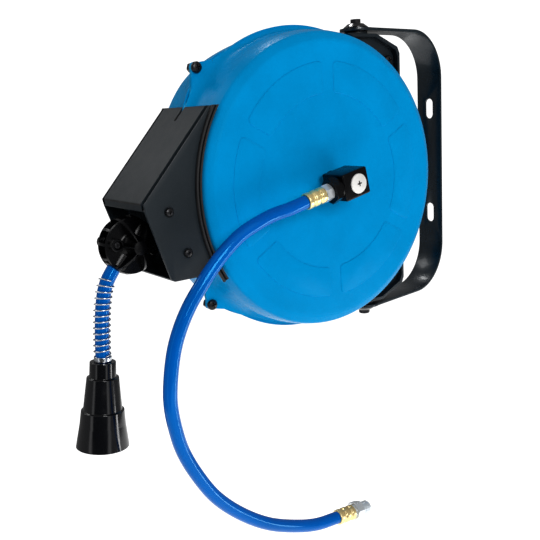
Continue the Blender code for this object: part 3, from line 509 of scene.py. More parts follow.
def smooth_route(points, spacing):
    """Points evenly spaced along a Catmull-Rom curve through the given ones."""
    ends = [points[0] * 2 - points[1], *points, points[-1] * 2 - points[-2]]
    fine = []
    for before, start, end, after in zip(ends, ends[1:], ends[2:], ends[3:]):
        for step in range(24):
            t = step / 24
            fine.append(
                0.5
                * (
                    2 * start
                    + (end - before) * t
                    + (2 * before - 5 * start + 4 * end - after) * t * t
                    + (3 * start - before - 3 * end + after) * t**3
                )
            )
    fine.append(points[-1])
    total = sum((b - a).length for a, b in zip(fine, fine[1:]))
    count = max(2, round(total / spacing))
    route = [fine[0]]
    walked, target = 0.0, total / count
    for a, b in zip(fine, fine[1:]):
        step = (b - a).length
        while walked + step >= target and len(route) < count:
            route.append(a.lerp(b, (target - walked) / step))
            target += total / count
        walked += step
    return [*route, fine[-1]]


def tube(name, points, radius, resolution=6):
    curve = bpy.data.curves.new(name, "CURVE")
    curve.dimensions = "3D"
    curve.bevel_depth = radius * MM
    curve.bevel_resolution = resolution
    curve.use_fill_caps = True
    spline = curve.splines.new("POLY")
    spline.points.add(len(points) - 1)
    for knot, point in zip(spline.points, points):
        knot.co = (*(Vector(point) * MM), 1)
    spline.use_smooth = True
    return new_object(name, curve)


def outlet_points(spacing):
    """Centre line of the free outlet hose from the middle of the ball into the bell."""
    down = slope(90 - BELL_TILT_DEG)
    top = Vector((0, *BELL_TOP))
    start = Vector((0, *BALL_CENTRE)) + slope(BALL_TILT_DEG) * 0.15
    knots = [start, *(Vector((0, *point)) for point in OUTLET_ROUTE), top, top + down * HOSE_INTO_BELL]
    return smooth_route(knots, spacing)


def inlet_points(spacing):
    """Centre line of the inlet hose from its ferrule to its end fitting."""
    tilt = math.radians(SWIVEL_TILT_DEG)
    run = FERRULE_LOW + FERRULE_LENGTH + GAP
    start = Vector((INLET_X, -run * math.cos(tilt), -run * math.sin(tilt)))
    return smooth_route([start, *(Vector(point) for point in INLET_ROUTE), Vector(INLET_END)], spacing)


# ---- Cords and what is on them ----


def ferrule(name, low, where):
    """Crimped hose ferrule: a rolled sleeve with two grooves and a flared mouth."""
    form = [
        (3.5, 0), (7.0, 0), (7.4, 0.5), (7.4, 4.2), (6.4, 5.2), (6.4, 6.8), (7.4, 7.8), (7.4, 11.8),
        (6.4, 12.8), (6.4, 14.4), (7.4, 15.4), (7.4, 18.9), (7.1, FERRULE_LENGTH),
        (6.2, FERRULE_LENGTH), (3.5, FERRULE_LENGTH - 1),
    ]
    return lathe(name, soften([(r, low + h) for r, h in form], 0.45, steps=3), 72, where)


def end_hardware():
    """The inlet hose's far end: a crimped sleeve and a male fitting with seven threads."""
    level = math.radians(INLET_END_TILT_DEG)
    where = at(*INLET_END) @ along((0, math.cos(level), -math.sin(level)))
    sleeve = dress(ferrule("crimped_end_ferrule", GAP, where), BRASS, "inlet", ["end_ferrule"])
    low = GAP + FERRULE_LENGTH + GAP
    form = [(3.5, low), (6.5, low), (6.5, low + 9.6), (5.6, low + 10.2)]
    for i in range(7):
        crest = low + 11.0 + 1.34 * i
        form += [(5.7, crest - 0.5), (6.55, crest), (6.55, crest + 0.15), (5.7, crest + 0.62)]
    form += [
        (5.6, low + 20.2), (5.2, low + 20.9), (4.3, low + 21.0), (4.0, low + 20.2), (3.5, low + 18),
    ]
    fitting = lathe("threaded_end_fitting", form, 72, where)
    merge(fitting, hexagon("hexagon", 9.8, low + 1.0, low + 9.5, where, 8))
    dress(fitting, ZINC, "inlet", ["end_fitting"], crease=25)
    return sleeve, fitting


def bell_hardware():
    """The outlet hose's far end: the stepped bell, the guard's collar above it and the coupler in it."""
    where = at(0, *BELL_TOP) @ along(slope(90 - BELL_TILT_DEG))
    form = [
        (6.4, 0.0), (11.0, 0.0), (11.4, 13.2), (13.6, 13.5), (16.6, 42.0), (18.3, 42.3), (19.6, 55.0),
        (22.8, BELL_LENGTH), (21.0, BELL_LENGTH), (17.6, 55.0), (16.2, 44.4), (14.0, 43.0),
        (11.8, 16.0), (6.4, 11.0),
    ]
    bell = dress(lathe("stepped_bell", soften(form, 0.5), 128, where), GLOSS, "reel", ["end_bell"])
    ring = [(6.4, -4.6), (7.5, -4.6), (7.5, -GAP), (6.4, -GAP)]
    collar = lathe("guard_end_collar", soften(ring, 0.5), 64, where)
    dress(collar, SPRING, "reel", ["guard_ferrule"])
    low = HOSE_INTO_BELL + GAP
    form = [
        (3.0, low), (5.8, low), (5.8, 22.0), (8.2, 22.6), (8.2, 30.0), (10.6, 31.0), (10.6, 36.0),
        (10.1, 36.6), (10.1, 37.4), (10.6, 38.0), (10.6, 42.0), (10.1, 42.6), (10.1, 43.4),
        (10.6, 44.0), (10.6, 54.0), (9.4, 55.0), (9.4, 62.0), (5.0, 62.0), (5.0, 42.0), (3.0, 40.0),
    ]
    socket = lathe("quick_coupler", soften(form, 0.35, steps=2), 64, where)
    dress(socket, ZINC, "reel", ["coupler"])
    return bell, collar, socket


def guard_points():
    """The guard's wire, wound round the outlet hose's centre line."""
    fine = outlet_points(1.0)
    lengths = [0.0]
    for a, b in zip(fine, fine[1:]):
        lengths.append(lengths[-1] + (b - a).length)
    first, last = GUARD_START, lengths[-1] - HOSE_INTO_BELL - GUARD_END
    radius = HOSE_RADIUS + 0.2 + GUARD_WIRE
    per_turn = 28
    coil = []
    place = 0
    for i in range(GUARD_TURNS * per_turn + 1):
        want = first + (last - first) * i / (GUARD_TURNS * per_turn)
        while lengths[place + 1] < want:
            place += 1
        share = (want - lengths[place]) / (lengths[place + 1] - lengths[place])
        centre = fine[place].lerp(fine[place + 1], share)
        forward = (fine[place + 1] - fine[place]).normalized()
        across = Vector((1, 0, 0))
        third = forward.cross(across)
        turn = 2 * math.pi * i / per_turn
        coil.append(centre + (across * math.cos(turn) + third * math.sin(turn)) * radius)
    return coil


def cords():
    """Both free hoses, with the pieces on them."""
    sleeve, fitting = end_hardware()
    route = inlet_points(5.0)
    hose = dress(tube("blue_inlet_hose", route, HOSE_RADIUS, 10), HOSE_BLUE, "inlet", ["inlet_hose"])
    bell, collar, socket = bell_hardware()
    guard = dress(tube("wire_guard", guard_points(), GUARD_WIRE, 2), SPRING, "reel", ["spring_guard"])
    route = outlet_points(4.0)
    hose = dress(tube("blue_outlet_hose", route, HOSE_RADIUS, 10), HOSE_BLUE, "reel", ["outlet_hose"])


make_camera()
cords()


# ---- Housing ----


def edge_radius(degrees):
    """Radius of the flange's edge at an angle: the plain circle, or an ear's outline."""
    for radius, middle in EARS:
        away = (degrees - middle + 180) % 360 - 180
        if abs(away) > EAR_REACH_DEG:
            continue
        outline = [
            polar(FLANGE_RADIUS, -EAR_REACH_DEG),
            *arc(EAR_TIP, 17, (radius, 0), -72, 144, closed=False),
            polar(FLANGE_RADIUS, EAR_REACH_DEG),
        ]
        ray = Vector(polar(1, away))
        for p, q in zip(outline, outline[1:]):
            a, b = Vector(p), Vector(q)
            low, high = ray.cross(a), ray.cross(b)
            if low <= 1e-9 <= high + 2e-9 and abs(high - low) > 1e-9:
                share = min(1.0, max(0.0, -low / (high - low)))
                return max(FLANGE_RADIUS, ray.dot(a.lerp(b, share)))
    return FLANGE_RADIUS


def flare(degrees):
    """How far the wall sweeps out into the nose-side ears at an angle, from 0 to 1."""
    away = min(abs((degrees - middle + 180) % 360 - 180) for middle in NOSE_EARS_DEG)
    share = max(0.0, 1 - away / FLARE_REACH_DEG)
    return share * share * (3 - 2 * share)


def shell_section(degrees, hole, side):
    """(radius, height) of the shell's outside from its centre hole to the flange's edge."""
    sweep = flare(degrees)
    face = [(r, FACE_X) for r in (hole, hole + 2, 30, 60, 90, 112, 121)]
    bulge = 2.4 * sweep if side < 0 else 0.0
    top, *rest = SHOULDERS[side]
    shoulder = [(121, FACE_X), top, *((r + bulge, h) for r, h in rest)]
    wall = soften(shoulder, 2.2, closed=False, steps=5)[1:]
    foot = Vector((rest[-1][0] + 0.2 + bulge, 10.0 + 12 * sweep))
    bend = Vector((foot.x + 1.0 + 0.6 * sweep, 1.9 + 0.6 * sweep))
    land = Vector((142.4 + 8.6 * sweep, FLANGE_HALF))
    curve = []
    for i in range(9):
        t = i / 8
        curve.append(tuple(foot * (1 - t) ** 2 + bend * 2 * t * (1 - t) + land * t * t))
    rim = edge_radius(degrees)
    start = min(land.x, rim - 0.6)
    curve[-1] = (start, FLANGE_HALF)
    flat = [(start + (rim - start) * share, FLANGE_HALF) for share in (0.4, 0.8, 1.0)]
    return [*face, *wall, *curve, *flat]


def pad_outline(middle):
    """One raised sector of a shell's face, centred on an angle."""
    outer, inner = PAD_OUTER - PAD_CORNER, PAD_INNER + PAD_CORNER
    outer_reach, inner_reach = (
        180 / PADS - math.degrees(math.asin((PAD_GAP / 2 + PAD_CORNER) / r)) for r in (outer, inner)
    )
    first, last = middle - outer_reach, middle + outer_reach
    inner_last, inner_first = middle + inner_reach, middle - inner_reach

    def corner(radius, angle, start, stop):
        return arc(PAD_CORNER, 7, polar(radius, angle), start, stop - start, closed=False)

    return [
        *corner(outer, first, middle - 120, first),
        *arc(PAD_OUTER, 26, (0, 0), first + 0.8, last - first - 1.6, closed=False),
        *corner(outer, last, last, middle + 120),
        *corner(inner, inner_last, middle + 120, inner_last + 180),
        *arc(PAD_INNER, 18, (0, 0), inner_last - 0.8, inner_first - inner_last + 1.6, closed=False),
        *corner(inner, inner_first, inner_first + 180, middle + 240),
    ]


def housing_shell(name, side, hole, node):
    """One pressed shell: flat face with raised sectors, rolled shoulder, flared foot and flange."""
    plain = [1.25 * i for i in range(288)]
    near_ears = [middle - 11 + 0.5 * i for middle in NOSE_EARS_DEG for i in range(45)]
    angles = sorted(
        [angle for angle in plain if min(abs(angle - middle) for middle in NOSE_EARS_DEG) > 11.4] + near_ears
    )
    shape = bmesh.new()
    rows = []
    for angle in angles:
        row = []
        for radius, height in shell_section(angle, hole, side):
            y, z = polar(radius, angle)
            row.append(shape.verts.new((side * height * MM, y * MM, z * MM)))
        rows.append(row)
    for angle, row, following in zip(angles, rows, rows[1:] + rows[:1]):
        for i in range(len(row) - 1):
            point = row[i].co / MM
            in_mouth = abs(point.x) < MOUTH_X and math.hypot(point.y, point.z) > MOUTH_RADIUS
            if MOUTH_DEG[0] < angle < MOUTH_DEG[1] and in_mouth:
                continue
            corners = (row[i], row[i + 1], following[i + 1], following[i])
            shape.faces.new(corners if side > 0 else corners[::-1])
    shell = mesh_object(name, shape)
    facing = shell.data.polygons[0].normal.x * side
    sheet = shell.modifiers.new("Sheet", "SOLIDIFY")
    sheet.thickness = SHELL_THICK * MM
    sheet.offset = -1 if facing > 0 else 1
    sheet.use_even_offset = True
    settle(shell)
    low, high = sorted((side * (FACE_X - PAD_SUNK), side * (FACE_X + PAD_HEIGHT)))
    pads = [prism("sector", pad_outline(360 / PADS * i), low, high, SIDEWAYS) for i in range(PADS)]
    merge(shell, *(round_edges(pad, 0.7, 3) for pad in pads))
    return dress(shell, BLUE, "reel", [node], crease=38)


housing_shell("pressed_front_shell", 1, 10.3, "front_shell")
housing_shell("pressed_rear_shell", -1, 8.4, "rear_shell")


# ---- Outlet nose ----


def housing_form(clearance):
    """The housing's outer form grown by the clearance."""
    half = [(radius + clearance, height) for radius, height in ((138.8, 30.0), (139.2, 9.5), (140.2, 4.6))]
    half += [(143.4 + clearance, 2.4), (FLANGE_RADIUS + clearance, FLANGE_HALF + clearance)]
    profile = [(0, FACE_X + 8), (half[0][0], FACE_X + 8), *half]
    profile += [(radius, -height) for radius, height in reversed(profile)]
    return lathe("housing_form", profile, 180, SIDEWAYS)


def nose():
    """Moulded nose: walls with a sunk groove along both top edges, and recesses round its screws; the grooves and
    the slit are painted dark as shade.
    """
    outline = [
        NOSE_TOP[1], (-189.8, -4.7), (-171.3, -63.5), (-169.9, -65.2), (-167.6, -66.0), (-104.0, -66.0),
        (-104.0, 75.0), NOSE_TOP[0],
    ]
    shell = prism("moulded_nose", outline, -NOSE_HALF, NOSE_HALF, SIDEWAYS)
    round_edges(shell, 1.1, 3, 30)
    inside = NOSE_HALF - NOSE_WALL
    below = [(-187.3, -5.3), (-215.0, -5.3), (-215.0, -63.3), (-90.0, -63.3)]
    room = [(-90.0, 72.3), (-123.3, 72.3), (-186.5, 2.0), *below]
    carve(shell, prism("room", room, -inside + 4.0, inside - 4.0, SIDEWAYS))
    low_room = [(-90.0, 66.0), (-120.0, 66.0), (-181.0, -2.0), *below]
    carve(shell, prism("low_room", low_room, -inside, inside, SIDEWAYS))
    carve(shell, housing_form(0.4))
    top, front = (Vector((0, *point)) for point in NOSE_TOP)
    run = (front - top).length
    down = (front - top).normalized()
    lift = Vector((0, down.z, -down.y))
    turn = Matrix((Vector((1, 0, 0)), down, lift)).transposed().to_4x4()
    middle = top + down * (run / 2)
    for side in (-1, 1):
        groove = at(side * GROOVE_X, middle.y, middle.z) @ turn
        carve(shell, brick("groove", (GROOVE_WIDTH, run + 40, 9.0), groove))
        carve(shell, brick("lip", (4.0, run + 40, 1.2), at(side * LIP_X, middle.y, middle.z) @ turn))
    carve(shell, brick("slit", (SLIT_WIDTH, 30.0, 4.6), at(*top) @ turn))
    for y, z in GUIDE_SCREWS:
        for side in (-1, 1):
            ring = [(r, side * h) for r, h in ((3.7, 40.3), (4.6, 40.3), (4.6, 43.0), (3.7, 43.0))]
            carve(shell, lathe("screw_ring", ring, 32, at(0, y, z) @ SIDEWAYS))
    dress(shell, BLACK, "reel", ["nose_housing"], crease=28)

    def sunk(spot):
        """Whether a spot is under the nose's top and inside a groove or the slit."""
        depth = -(spot - top).dot(lift)
        in_groove = 36.0 < abs(spot.x) < 40.25
        in_slit = depth < 2.5 and abs(spot.x) < SLIT_WIDTH / 2 + 0.1
        return 0.2 < depth < 4.7 and (in_groove or in_slit)

    # The grooves' and the slit's faces get the black rubber look: painted shade where the nose's top shades them.
    paint_shade(shell, sunk)


nose()


def seal(name, side, node):
    """Rubber strip with two ribs and a lipped edge, cut level with the nose's top."""
    form = [
        (137.4, 0), (143.0, 0), (143.2, 1.2), (142.6, 2.4), (141.2, 2.4), (140.7, 0.9), (140.3, 1.5),
        (139.9, 0.9), (139.5, 2.4), (137.9, 2.4), (137.3, 1.2),
    ]
    low = NOSE_HALF + GAP
    if side < 0:
        form = [(r + 1.0, h) for r, h in form]
    shape = bmesh.new()
    rows = []
    for i in range(97):
        row = []
        for radius, height in form:
            first = 180 - math.degrees(math.asin(SEAL_TOP_Z / radius))
            y, z = polar(radius, first + (SEAL_END_DEG - first) * i / 96)
            row.append(shape.verts.new((side * (low + height) * MM, y * MM, z * MM)))
        rows.append(row)
    for row, following in zip(rows, rows[1:]):
        for i in range(len(form)):
            j = (i + 1) % len(form)
            shape.faces.new((row[i], row[j], following[j], following[i]))
    shape.faces.new(rows[0])
    shape.faces.new(rows[-1])
    dress(solid_object(name, shape), RUBBER, "reel", [node], crease=50)


seal("ribbed_front_seal", 1, "front_nose_seal")
seal("ribbed_rear_seal", -1, "rear_nose_seal")

for number, (place, side) in enumerate(((p, s) for p in GUIDE_SCREWS for s in (1, -1)), 1):
    where = at(0, *place) @ SIDEWAYS @ sided(side)
    form = [
        (0, 30.0), (1.4, 30.0), (1.4, 41.3), (3.6, 41.3), (3.55, 42.0), (3.0, 43.0), (1.8, 43.5), (0, 43.6),
    ]
    head = lathe(f"nose_screw_{number}", form, 40, where)
    cross_recess(head, 3.4, 0.8, 43.6, 1.3, where)
    dress(head, BLACK_SCREW, "reel", [f"guide_screw_{number}"])


# ---- Ball stopper ----


def ball_half(name, side, node):
    """Half of the ball: a rimmed shell with pockets between ribs, split at the drum's middle plane."""
    split = GAP / 2
    dome = arc(BALL_RADIUS, 17, start=5, sweep=80, closed=False)
    half = lathe(name, [(0, split), (BALL_RADIUS, split), *dome, (0, BALL_RADIUS)], 96, SIDEWAYS)
    axis = along(slope(BALL_TILT_DEG))
    bore = HOSE_RADIUS + 0.5
    carve(half, lathe("bore", [(0, -40), (bore, -40), (bore, 40), (0, 40)], 48, axis))
    pocket = [(10.0, 9.8), (12.0, 8.8), (34.0, 8.8), (34.0, 34.0), (5.0, 34.0), (6.2, 17.0), (8.0, 12.0)]
    scallop = [
        (21.6, 8.8), (20.1, 11.6), (16.4, 16.4), (11.6, 20.1), (8.0, 21.8), (8.0, 34.0), (34.0, 34.0),
        (34.0, 8.8),
    ]
    channel = [(17.5, 6.9), (34.0, 6.9), (34.0, -2.0), (17.5, -2.0)]
    tilt = 180 + BALL_TILT_DEG
    outside = (6, pocket, 3.0) if side > 0 else (12, scallop, 3.0)
    for count, outline, wall in (outside, (12, channel, 2.4)):
        gap = 360 / count - math.degrees(wall / BALL_RADIUS)
        for i in range(count):
            start = tilt + 360 / count * (i + 0.5) - gap / 2
            carve(half, lathe("pocket", soften(outline, 1.0, steps=2), 12, SIDEWAYS, start, gap))
    collar = [(bore, -23.6), (9.4, -23.0), (10.2, -21.0), (10.2, 21.0), (9.4, 23.0), (bore, 23.6)]
    pieces = [lathe("collar", soften(collar, 0.6), 48, axis)]
    carve(pieces[0], prism("side", [(-60, -60), (60, -60), (60, 60), (-60, 60)], -60, split, SIDEWAYS))
    boss = [
        (1.8, 2.0), (5.4, 2.0), (5.4, 15.4), (4.9, 16.0), (3.8, 16.0), (3.6, 15.7), (3.6, 12.1), (1.8, 12.1),
    ]
    for place in screw_places():
        centre = at(0, *place) @ SIDEWAYS
        carve(half, lathe("seat", [(0, 12.0), (3.6, 12.0), (3.6, 40), (0, 40)], 32, centre))
        pieces.append(lathe("boss", boss, 32, centre))
    merge(half, *pieces)
    half.data.transform(at(0, *BALL_CENTRE))
    if side < 0:
        half.data.transform(Matrix.Diagonal((-1, 1, 1, 1)))
        half.data.flip_normals()
    return dress(half, SATIN, "reel", [node], crease=35)


def screw_places():
    """The two clamp screws from the ball's centre, one each side of the bore."""
    away = slope(BALL_TILT_DEG - 90) * STOPPER_SCREW_ACROSS + slope(BALL_TILT_DEG) * STOPPER_SCREW_ALONG
    return [(k * away.y, k * away.z) for k in (-1, 1)]


ball_half("front_ball_half", 1, "front_stopper_half")
ball_half("rear_ball_half", -1, "rear_stopper_half")
for number, (y, z) in enumerate(screw_places(), 1):
    where = at(0, BALL_CENTRE[0] + y, BALL_CENTRE[1] + z) @ SIDEWAYS
    form = [(0, -11.0), (1.5, -11.0), (1.5, 12.4), (3.1, 12.4), (3.1, 13.6), (2.4, 14.5), (0, 14.6)]
    screw = cross_recess(lathe(f"ball_screw_{number}", form, 40, where), 3.6, 0.8, 14.6, 1.2, where)
    dress(screw, BLACK_SCREW, "reel", [f"stopper_screw_{number}"])


# ---- Inlet swivel ----


def swivel():
    """The block on the drum's shaft, its fittings towards the hose, and the cap screw that holds it."""
    size = (SWIVEL_FRONT - SWIVEL_BACK, 29.0, 24.4)
    body = brick("rounded_swivel_block", size, at((SWIVEL_FRONT + SWIVEL_BACK) / 2, -1.5, 0))
    round_edges(body, 1.6, 4)
    carve(body, lathe("bore", [(0, 40), (7.4, 40), (7.4, 95), (0, 95)], 48, SIDEWAYS))
    carve(body, lathe("seat", [(0, 81.6), (9.3, 81.6), (9.3, 95), (0, 95)], 48, SIDEWAYS))
    dress(body, SATIN, "inlet", ["swivel_block"], SWIVEL)
    inlet = at(INLET_X, 0, 0) @ along((0, -1, 0))
    neck = hexagon("hex_adapter", 12.2, 18.4, 25.4, inlet, 0)
    shoulder = soften([(3.2, 16.3), (10.6, 16.3), (10.6, 18.8), (3.2, 18.8)], 0.4)
    merge(neck, lathe("shoulder", shoulder, 64, inlet))
    carve(neck, lathe("passage", [(0, 5), (3.2, 5), (3.2, 30), (0, 30)], 32, inlet))
    dress(neck, SATIN, "inlet", ["inlet_adapter"], SWIVEL)
    nipple = hexagon("hex_nipple", 8.0, 25.7, 33.6, inlet, 0)
    carve(nipple, lathe("passage", [(0, 5), (3.2, 5), (3.2, 40), (0, 40)], 32, inlet))
    dress(nipple, ZINC, "inlet", ["inlet_nipple"], SWIVEL)
    dress(ferrule("crimped_inlet_ferrule", FERRULE_LOW, inlet), BRASS, "inlet", ["inlet_ferrule"], SWIVEL)
    low = SWIVEL_FRONT + GAP
    form = [
        (0, 77.5), (3.2, 77.5), (3.2, low), (8.9, low), (8.9, low + 0.8), (8.5, low + 1.35),
        (4.5, low + 1.7), (0, low + 1.8),
    ]
    cap = cross_recess(lathe("swivel_cap", form, 72, SIDEWAYS), 5.0, 1.3, low + 1.9, 2.2, SIDEWAYS)
    dress(cap, PALE_ZINC, "drum", ["swivel_screw"])
    # The cross recess is painted dark with the black rubber look: painted shade in the recess.
    paint_shade(cap, lambda spot: low - 0.6 < spot.x < low + 1.5 and math.hypot(spot.y, spot.z) < 2.6)


swivel()


# ---- Wall bracket ----


def strap_path():
    """(y, z) along the strap's middle from the upper eye's tip round to the lower one's."""
    middle = STRAP_THICK / 2
    bend = BEND_RADIUS - middle
    half = [(PIVOT_Y - EYE_RADIUS * math.cos(math.radians(a)), ARM_Z - middle) for a in range(4, 91, 4)]
    half += [(PIVOT_Y + further, ARM_Z - middle) for further in (4, 8, EYE_RADIUS)]
    for i in range(25):
        turn = math.radians(90 * i / 24)
        half.append((-middle - bend + bend * math.sin(turn), ARM_Z - middle - bend + bend * math.cos(turn)))
    return half + [(y, -z) for y, z in reversed(half)]


def strap_half_width(y, z):
    """Half of the strap's width: round at an arm's eye, straight elsewhere."""
    reach = abs(y - PIVOT_Y)
    round_part = math.sqrt(max(EYE_RADIUS**2 - reach**2, 0.0))
    if abs(z) > ARM_Z - STRAP_THICK and y < PIVOT_Y:
        return round_part
    return max(round_part, STRAP_WIDTH / 2) if y < PIVOT_Y + EYE_RADIUS / 3 else STRAP_WIDTH / 2


def bracket():
    """Flat strap bent to a U, with a pivot eye at each end and two slots in its back."""
    shape = bmesh.new()
    rows = []
    for y, z in strap_path():
        half = strap_half_width(y, z)
        rows.append([shape.verts.new((k * half * MM, y * MM, z * MM)) for k in (-1, 1)])
    for a, b in zip(rows, rows[1:]):
        shape.faces.new((a[0], a[1], b[1], b[0]))
    strap = mesh_object("bent_wall_bracket", shape)
    solid = strap.modifiers.new("Sheet", "SOLIDIFY")
    solid.thickness = STRAP_THICK * MM
    solid.offset = 0
    solid.use_even_offset = True
    settle(strap)
    reach = (SLOT_LENGTH - SLOT_WIDTH) / 2
    turn = Matrix(((0, 1, 0), (0, 0, 1), (1, 0, 0))).to_4x4()
    for side in (-1, 1):
        low, high = side * (ARM_Z - 10), side * (ARM_Z + 10)
        hole = [(0, low), (EYE_HOLE_RADIUS, low), (EYE_HOLE_RADIUS, high), (0, high)]
        carve(strap, lathe("hole", hole, 48, at(0, PIVOT_Y, 0)))
        outline = arc(SLOT_WIDTH / 2, 17, (side * SLOT_Z + reach, 0), -90, 180, closed=False)
        outline += arc(SLOT_WIDTH / 2, 17, (side * SLOT_Z - reach, 0), 90, 180, closed=False)
        carve(strap, prism("slot", outline, -10, 10, turn))
    round_edges(strap, 0.55, 2, 50)
    dress(strap, DARK_STEEL, "bracket", ["wall_bracket"], WORLD, crease=38)


bracket()


# ---- Swing pivots ----


def lug_corners(inset):
    """The lug's wall-side corners, moved in from its outside."""
    top, back = LUG_TOP - inset, LUG_BACK - inset
    return [(91.3 - inset * 0.2, top), (120.0 - inset * 0.9, 123.4 - inset * 0.95), (back, 117.0 - inset)]


def pivot_lug(name, side, node):
    """Corner block between the housing's flange and the pivot: a rim round a pierced, ribbed web."""

    def shaped(label, outline, low, high):
        return prism(label, [(u, v * side) for u, v in outline], low, high, SIDEWAYS)

    inner = FLANGE_RADIUS + 1.5
    start = math.degrees(math.acos(LUG_BACK / inner))
    end = math.degrees(math.asin(LUG_TOP / inner))
    outline = [*arc(inner, 40, (0, 0), start, end - start, closed=False), *lug_corners(0)]
    lug = shaped(name, outline, -LUG_HALF, LUG_HALF)
    round_edges(lug, 0.8, 3, 35)
    top, back = LUG_TOP - LUG_WALL, LUG_BACK - LUG_WALL
    hollow = [*lug_corners(LUG_WALL), (back, 40.0), (40.0, 40.0), (40.0, top)]
    carve(lug, shaped("back_hollow", hollow, -30.0, LUG_WEB[0]))
    carve(lug, shaped("front_hollow", hollow, LUG_WEB[1], 30.0))
    ribs = []
    for a, b in ((Vector(foot), Vector(head)) for foot, head in LUG_RIBS):
        across = Vector((-(b - a).y, (b - a).x)).normalized() * LUG_RIB_HALF
        outline = [tuple(a - across), tuple(a + across), tuple(b + across), tuple(b - across)]
        ribs.append(shaped("rib", outline, LUG_WEB[1] - 0.4, LUG_HALF - 1.6))
    ear = polar(*EARS[0])
    centre = at(0, ear[0], ear[1] * side) @ SIDEWAYS
    boss = [(2.8, 8.2), (6.4, 8.2), (6.4, 11.6), (5.6, 11.6), (5.6, 9.5), (2.8, 9.5)]
    merge(lug, *ribs, lathe("boss", soften(boss, 0.2), 48, centre))
    low, high = LUG_TOP - 30, LUG_TOP + 10
    hole = [(0, low), (BOLT_HOLE_RADIUS, low), (BOLT_HOLE_RADIUS, high), (0, high)]
    carve(lug, lathe("bolt_hole", hole, 32, at(0, PIVOT_BEHIND_DRUM, 0) @ sided(side)))
    dress(lug, BLACK, "reel", [node], crease=30)


def pivot(prefix, side):
    """One pivot on the bracket's arm: bush, washer, bolt and nut, and the reel's lug that it holds."""
    turn = at(0, PIVOT_Y, 0) @ sided(side)
    form = [
        (3.4, 139.2), (6.0, 139.2), (6.0, 142.3), (12.2, 142.3), (12.2, 143.4), (11.2, 144.0), (8.0, 146.5),
        (3.4, 146.5),
    ]
    bush = lathe(f"{prefix}_moulded_bush", soften(form, 0.4), 64, turn)
    dress(bush, GLOSS, "bracket", [f"{prefix}_pivot_bush"], WORLD)
    form = [(3.4, 136.3), (11.5, 136.3), (11.5, 138.7), (3.4, 138.7)]
    washer = lathe(f"{prefix}_washer", soften(form, 0.4), 64, turn)
    dress(washer, BLACK, "reel", [f"{prefix}_thrust_washer"], WORLD)
    form = [(0, 125.5), (2.4, 125.5), (3.0, 126.2), (3.0, 147.2), (0, 147.2)]
    bolt = lathe(f"{prefix}_hex_bolt", soften(form, 0.3), 32, turn)
    merge(bolt, hexagon("head", BOLT_HEX_RADIUS, 146.8, 150.8, turn, 10))
    dress(bolt, BLACK_SCREW, "reel", [f"{prefix}_pivot_bolt"], WORLD, crease=25)
    nut = hexagon(f"{prefix}_bolt_nut", BOLT_HEX_RADIUS, 127.5, 132.5, turn, 30)
    carve(nut, lathe("thread", [(0, 120), (3.2, 120), (3.2, 140), (0, 140)], 32, turn))
    dress(nut, ZINC, "reel", [f"{prefix}_pivot_nut"], WORLD, crease=25)
    pivot_lug(f"{prefix}_ribbed_lug", side, f"{prefix}_pivot_lug")


pivot("upper", 1)
pivot("lower", -1)


# ---- Flange screws ----

EAR_NAMES = ("upper_lug", "upper_ear", "lower_ear", "lower_lug")
HEADS_X = (9.7, 2.05, 2.05, 9.7)
for label, ear, head_x in zip(EAR_NAMES, EARS, HEADS_X):
    where = at(0, *polar(*ear)) @ SIDEWAYS
    form = [
        (0, -6.05), (2.3, -6.05), (2.3, head_x), (5.0, head_x), (5.0, head_x + 1.6), (4.3, head_x + 2.9),
        (2.6, head_x + 3.5), (0, head_x + 3.6),
    ]
    screw = lathe(f"{label}_pan_screw", soften(form[:-1], 0.3, closed=False) + [form[-1]], 48, where)
    cross_recess(screw, 5.0, 1.1, head_x + 3.7, 2.0, where)
    dress(screw, BLACK_SCREW, "reel", [f"{label}_screw"])
    nut = hexagon(f"{label}_hex_nut", 4.9, -6.45, -2.05, where, 15)
    carve(nut, lathe("thread", [(0, -9), (2.5, -9), (2.5, 0), (0, 0)], 32, where))
    dress(nut, BLACK_SCREW, "reel", [f"{label}_nut"], crease=25)


# ---- CAD parts that stay: the inside of the drum, and what the nose hides ----

slots = {part["node"]: part["material_slot"] for part in frame["record"]["subparts"]}
for node, obj in frame["nodes"].items():
    obj.data.materials.clear()
    obj.data.materials.append(SLOT_LOOKS[slots[node]])


# ---- Floor, light and background ----

AIM = Vector((0, -0.2, -0.03))
LAMPS = (  # name, place, size, power
    ("key", (1.95, -0.95, 0.75), (0.8, 0.8), 21),
    ("rim", (-1.16, -0.78, 1.05), (0.6, 0.6), 4.2),
    ("top", (-0.70, 0.22, 1.25), (0.22, 0.22), 2.6),
    ("low", (0.72, 0.30, -0.50), (0.16, 0.36), 1.2),
)
TO_VIEWER = (0.71, -0.67, 0.21)
# Brightness of the surroundings from the far side of the reel (0) round to behind the viewer (1)
SURROUNDINGS = (
    (0.0, 0.09), (0.5, 0.12), (0.79, 0.13), (0.82, 0.45), (0.87, 0.45), (0.90, 0.03), (1.0, 0.03),
)
SURROUNDINGS_STRENGTH = 2.1
FLOOR_GLOW, FLOOR_RADIUS, FLOOR_BELOW = 0.68, 1.8, 0.5


def lamp(name, place, size, power):
    """A rectangular lamp aimed at the middle of the reel; its size is in metres, its power in watts."""
    data = bpy.data.lights.new(name, "AREA")
    data.shape = "RECTANGLE"
    data.size, data.size_y = size
    data.energy = power
    made = new_object(name, data)
    made.location = place
    made.rotation_euler = (AIM - Vector(place)).to_track_quat("-Z", "Y").to_euler()


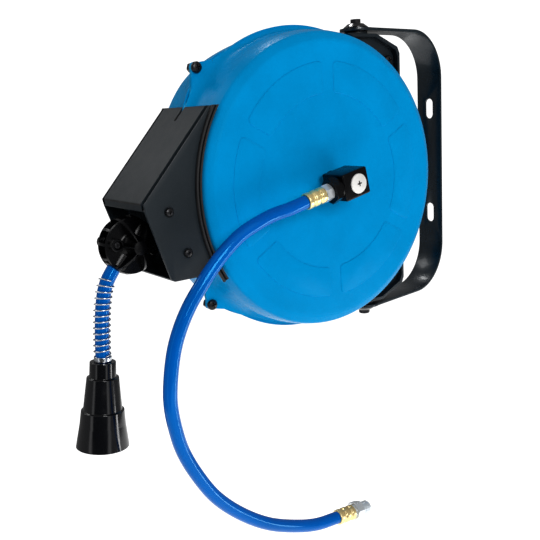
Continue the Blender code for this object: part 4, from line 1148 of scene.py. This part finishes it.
def pale_floor():
    """A matt white floor with a little light of its own, as a lit sweep has."""
    made = surface("pale_floor", (0.9, 0.9, 0.9), 0.7, tone=0.01, grain=(200.0, 0.05))
    shader = made.node_tree.nodes["Principled BSDF"]
    shader.inputs["Emission Color"].default_value = (1, 1, 1, 1)
    shader.inputs["Emission Strength"].default_value = FLOOR_GLOW
    return made


def studio():
    """Dim surroundings with one brighter band, which the camera sees as plain white."""
    world = bpy.data.worlds.new("studio")
    bpy.context.scene.world = world
    world.use_nodes = True
    nodes, links = world.node_tree.nodes, world.node_tree.links
    where = nodes.new("ShaderNodeTexCoord")
    facing = nodes.new("ShaderNodeVectorMath")
    facing.operation = "DOT_PRODUCT"
    facing.inputs[1].default_value = TO_VIEWER
    links.new(where.outputs["Generated"], facing.inputs[0])
    ramp = nodes.new("ShaderNodeMapRange")
    ramp.inputs["From Min"].default_value = -1.0
    links.new(facing.outputs["Value"], ramp.inputs["Value"])
    levels = nodes.new("ShaderNodeValToRGB")
    elements = levels.color_ramp.elements
    while len(elements) < len(SURROUNDINGS):
        elements.new(0.5)
    for element, (position, level) in zip(elements, SURROUNDINGS):
        element.position = position
        element.color = (level, level, level, 1)
    links.new(ramp.outputs["Result"], levels.inputs["Fac"])
    backdrop = nodes["Background"]
    links.new(levels.outputs["Color"], backdrop.inputs["Color"])
    backdrop.inputs["Strength"].default_value = SURROUNDINGS_STRENGTH
    plain = nodes.new("ShaderNodeBackground")
    plain.inputs["Color"].default_value = (1, 1, 1, 1)
    seen = nodes.new("ShaderNodeLightPath")
    either = nodes.new("ShaderNodeMixShader")
    links.new(seen.outputs["Is Camera Ray"], either.inputs["Fac"])
    links.new(backdrop.outputs["Background"], either.inputs[1])
    links.new(plain.outputs["Background"], either.inputs[2])
    links.new(either.outputs["Shader"], nodes["World Output"].inputs["Surface"])


def lay_floor():
    shape = bmesh.new()
    bmesh.ops.create_circle(shape, cap_ends=True, segments=64, radius=FLOOR_RADIUS)
    floor = mesh_object("floor", shape)
    floor.location = (0, 0, cad_box[0][2] - FLOOR_BELOW)
    floor.data.materials.append(pale_floor())


for label, place, size, power in LAMPS:
    lamp(label, place, size, power)
studio()
lay_floor()
bpy.context.scene.view_settings.view_transform = "Standard"
bpy.context.scene.view_settings.look = "Medium High Contrast"
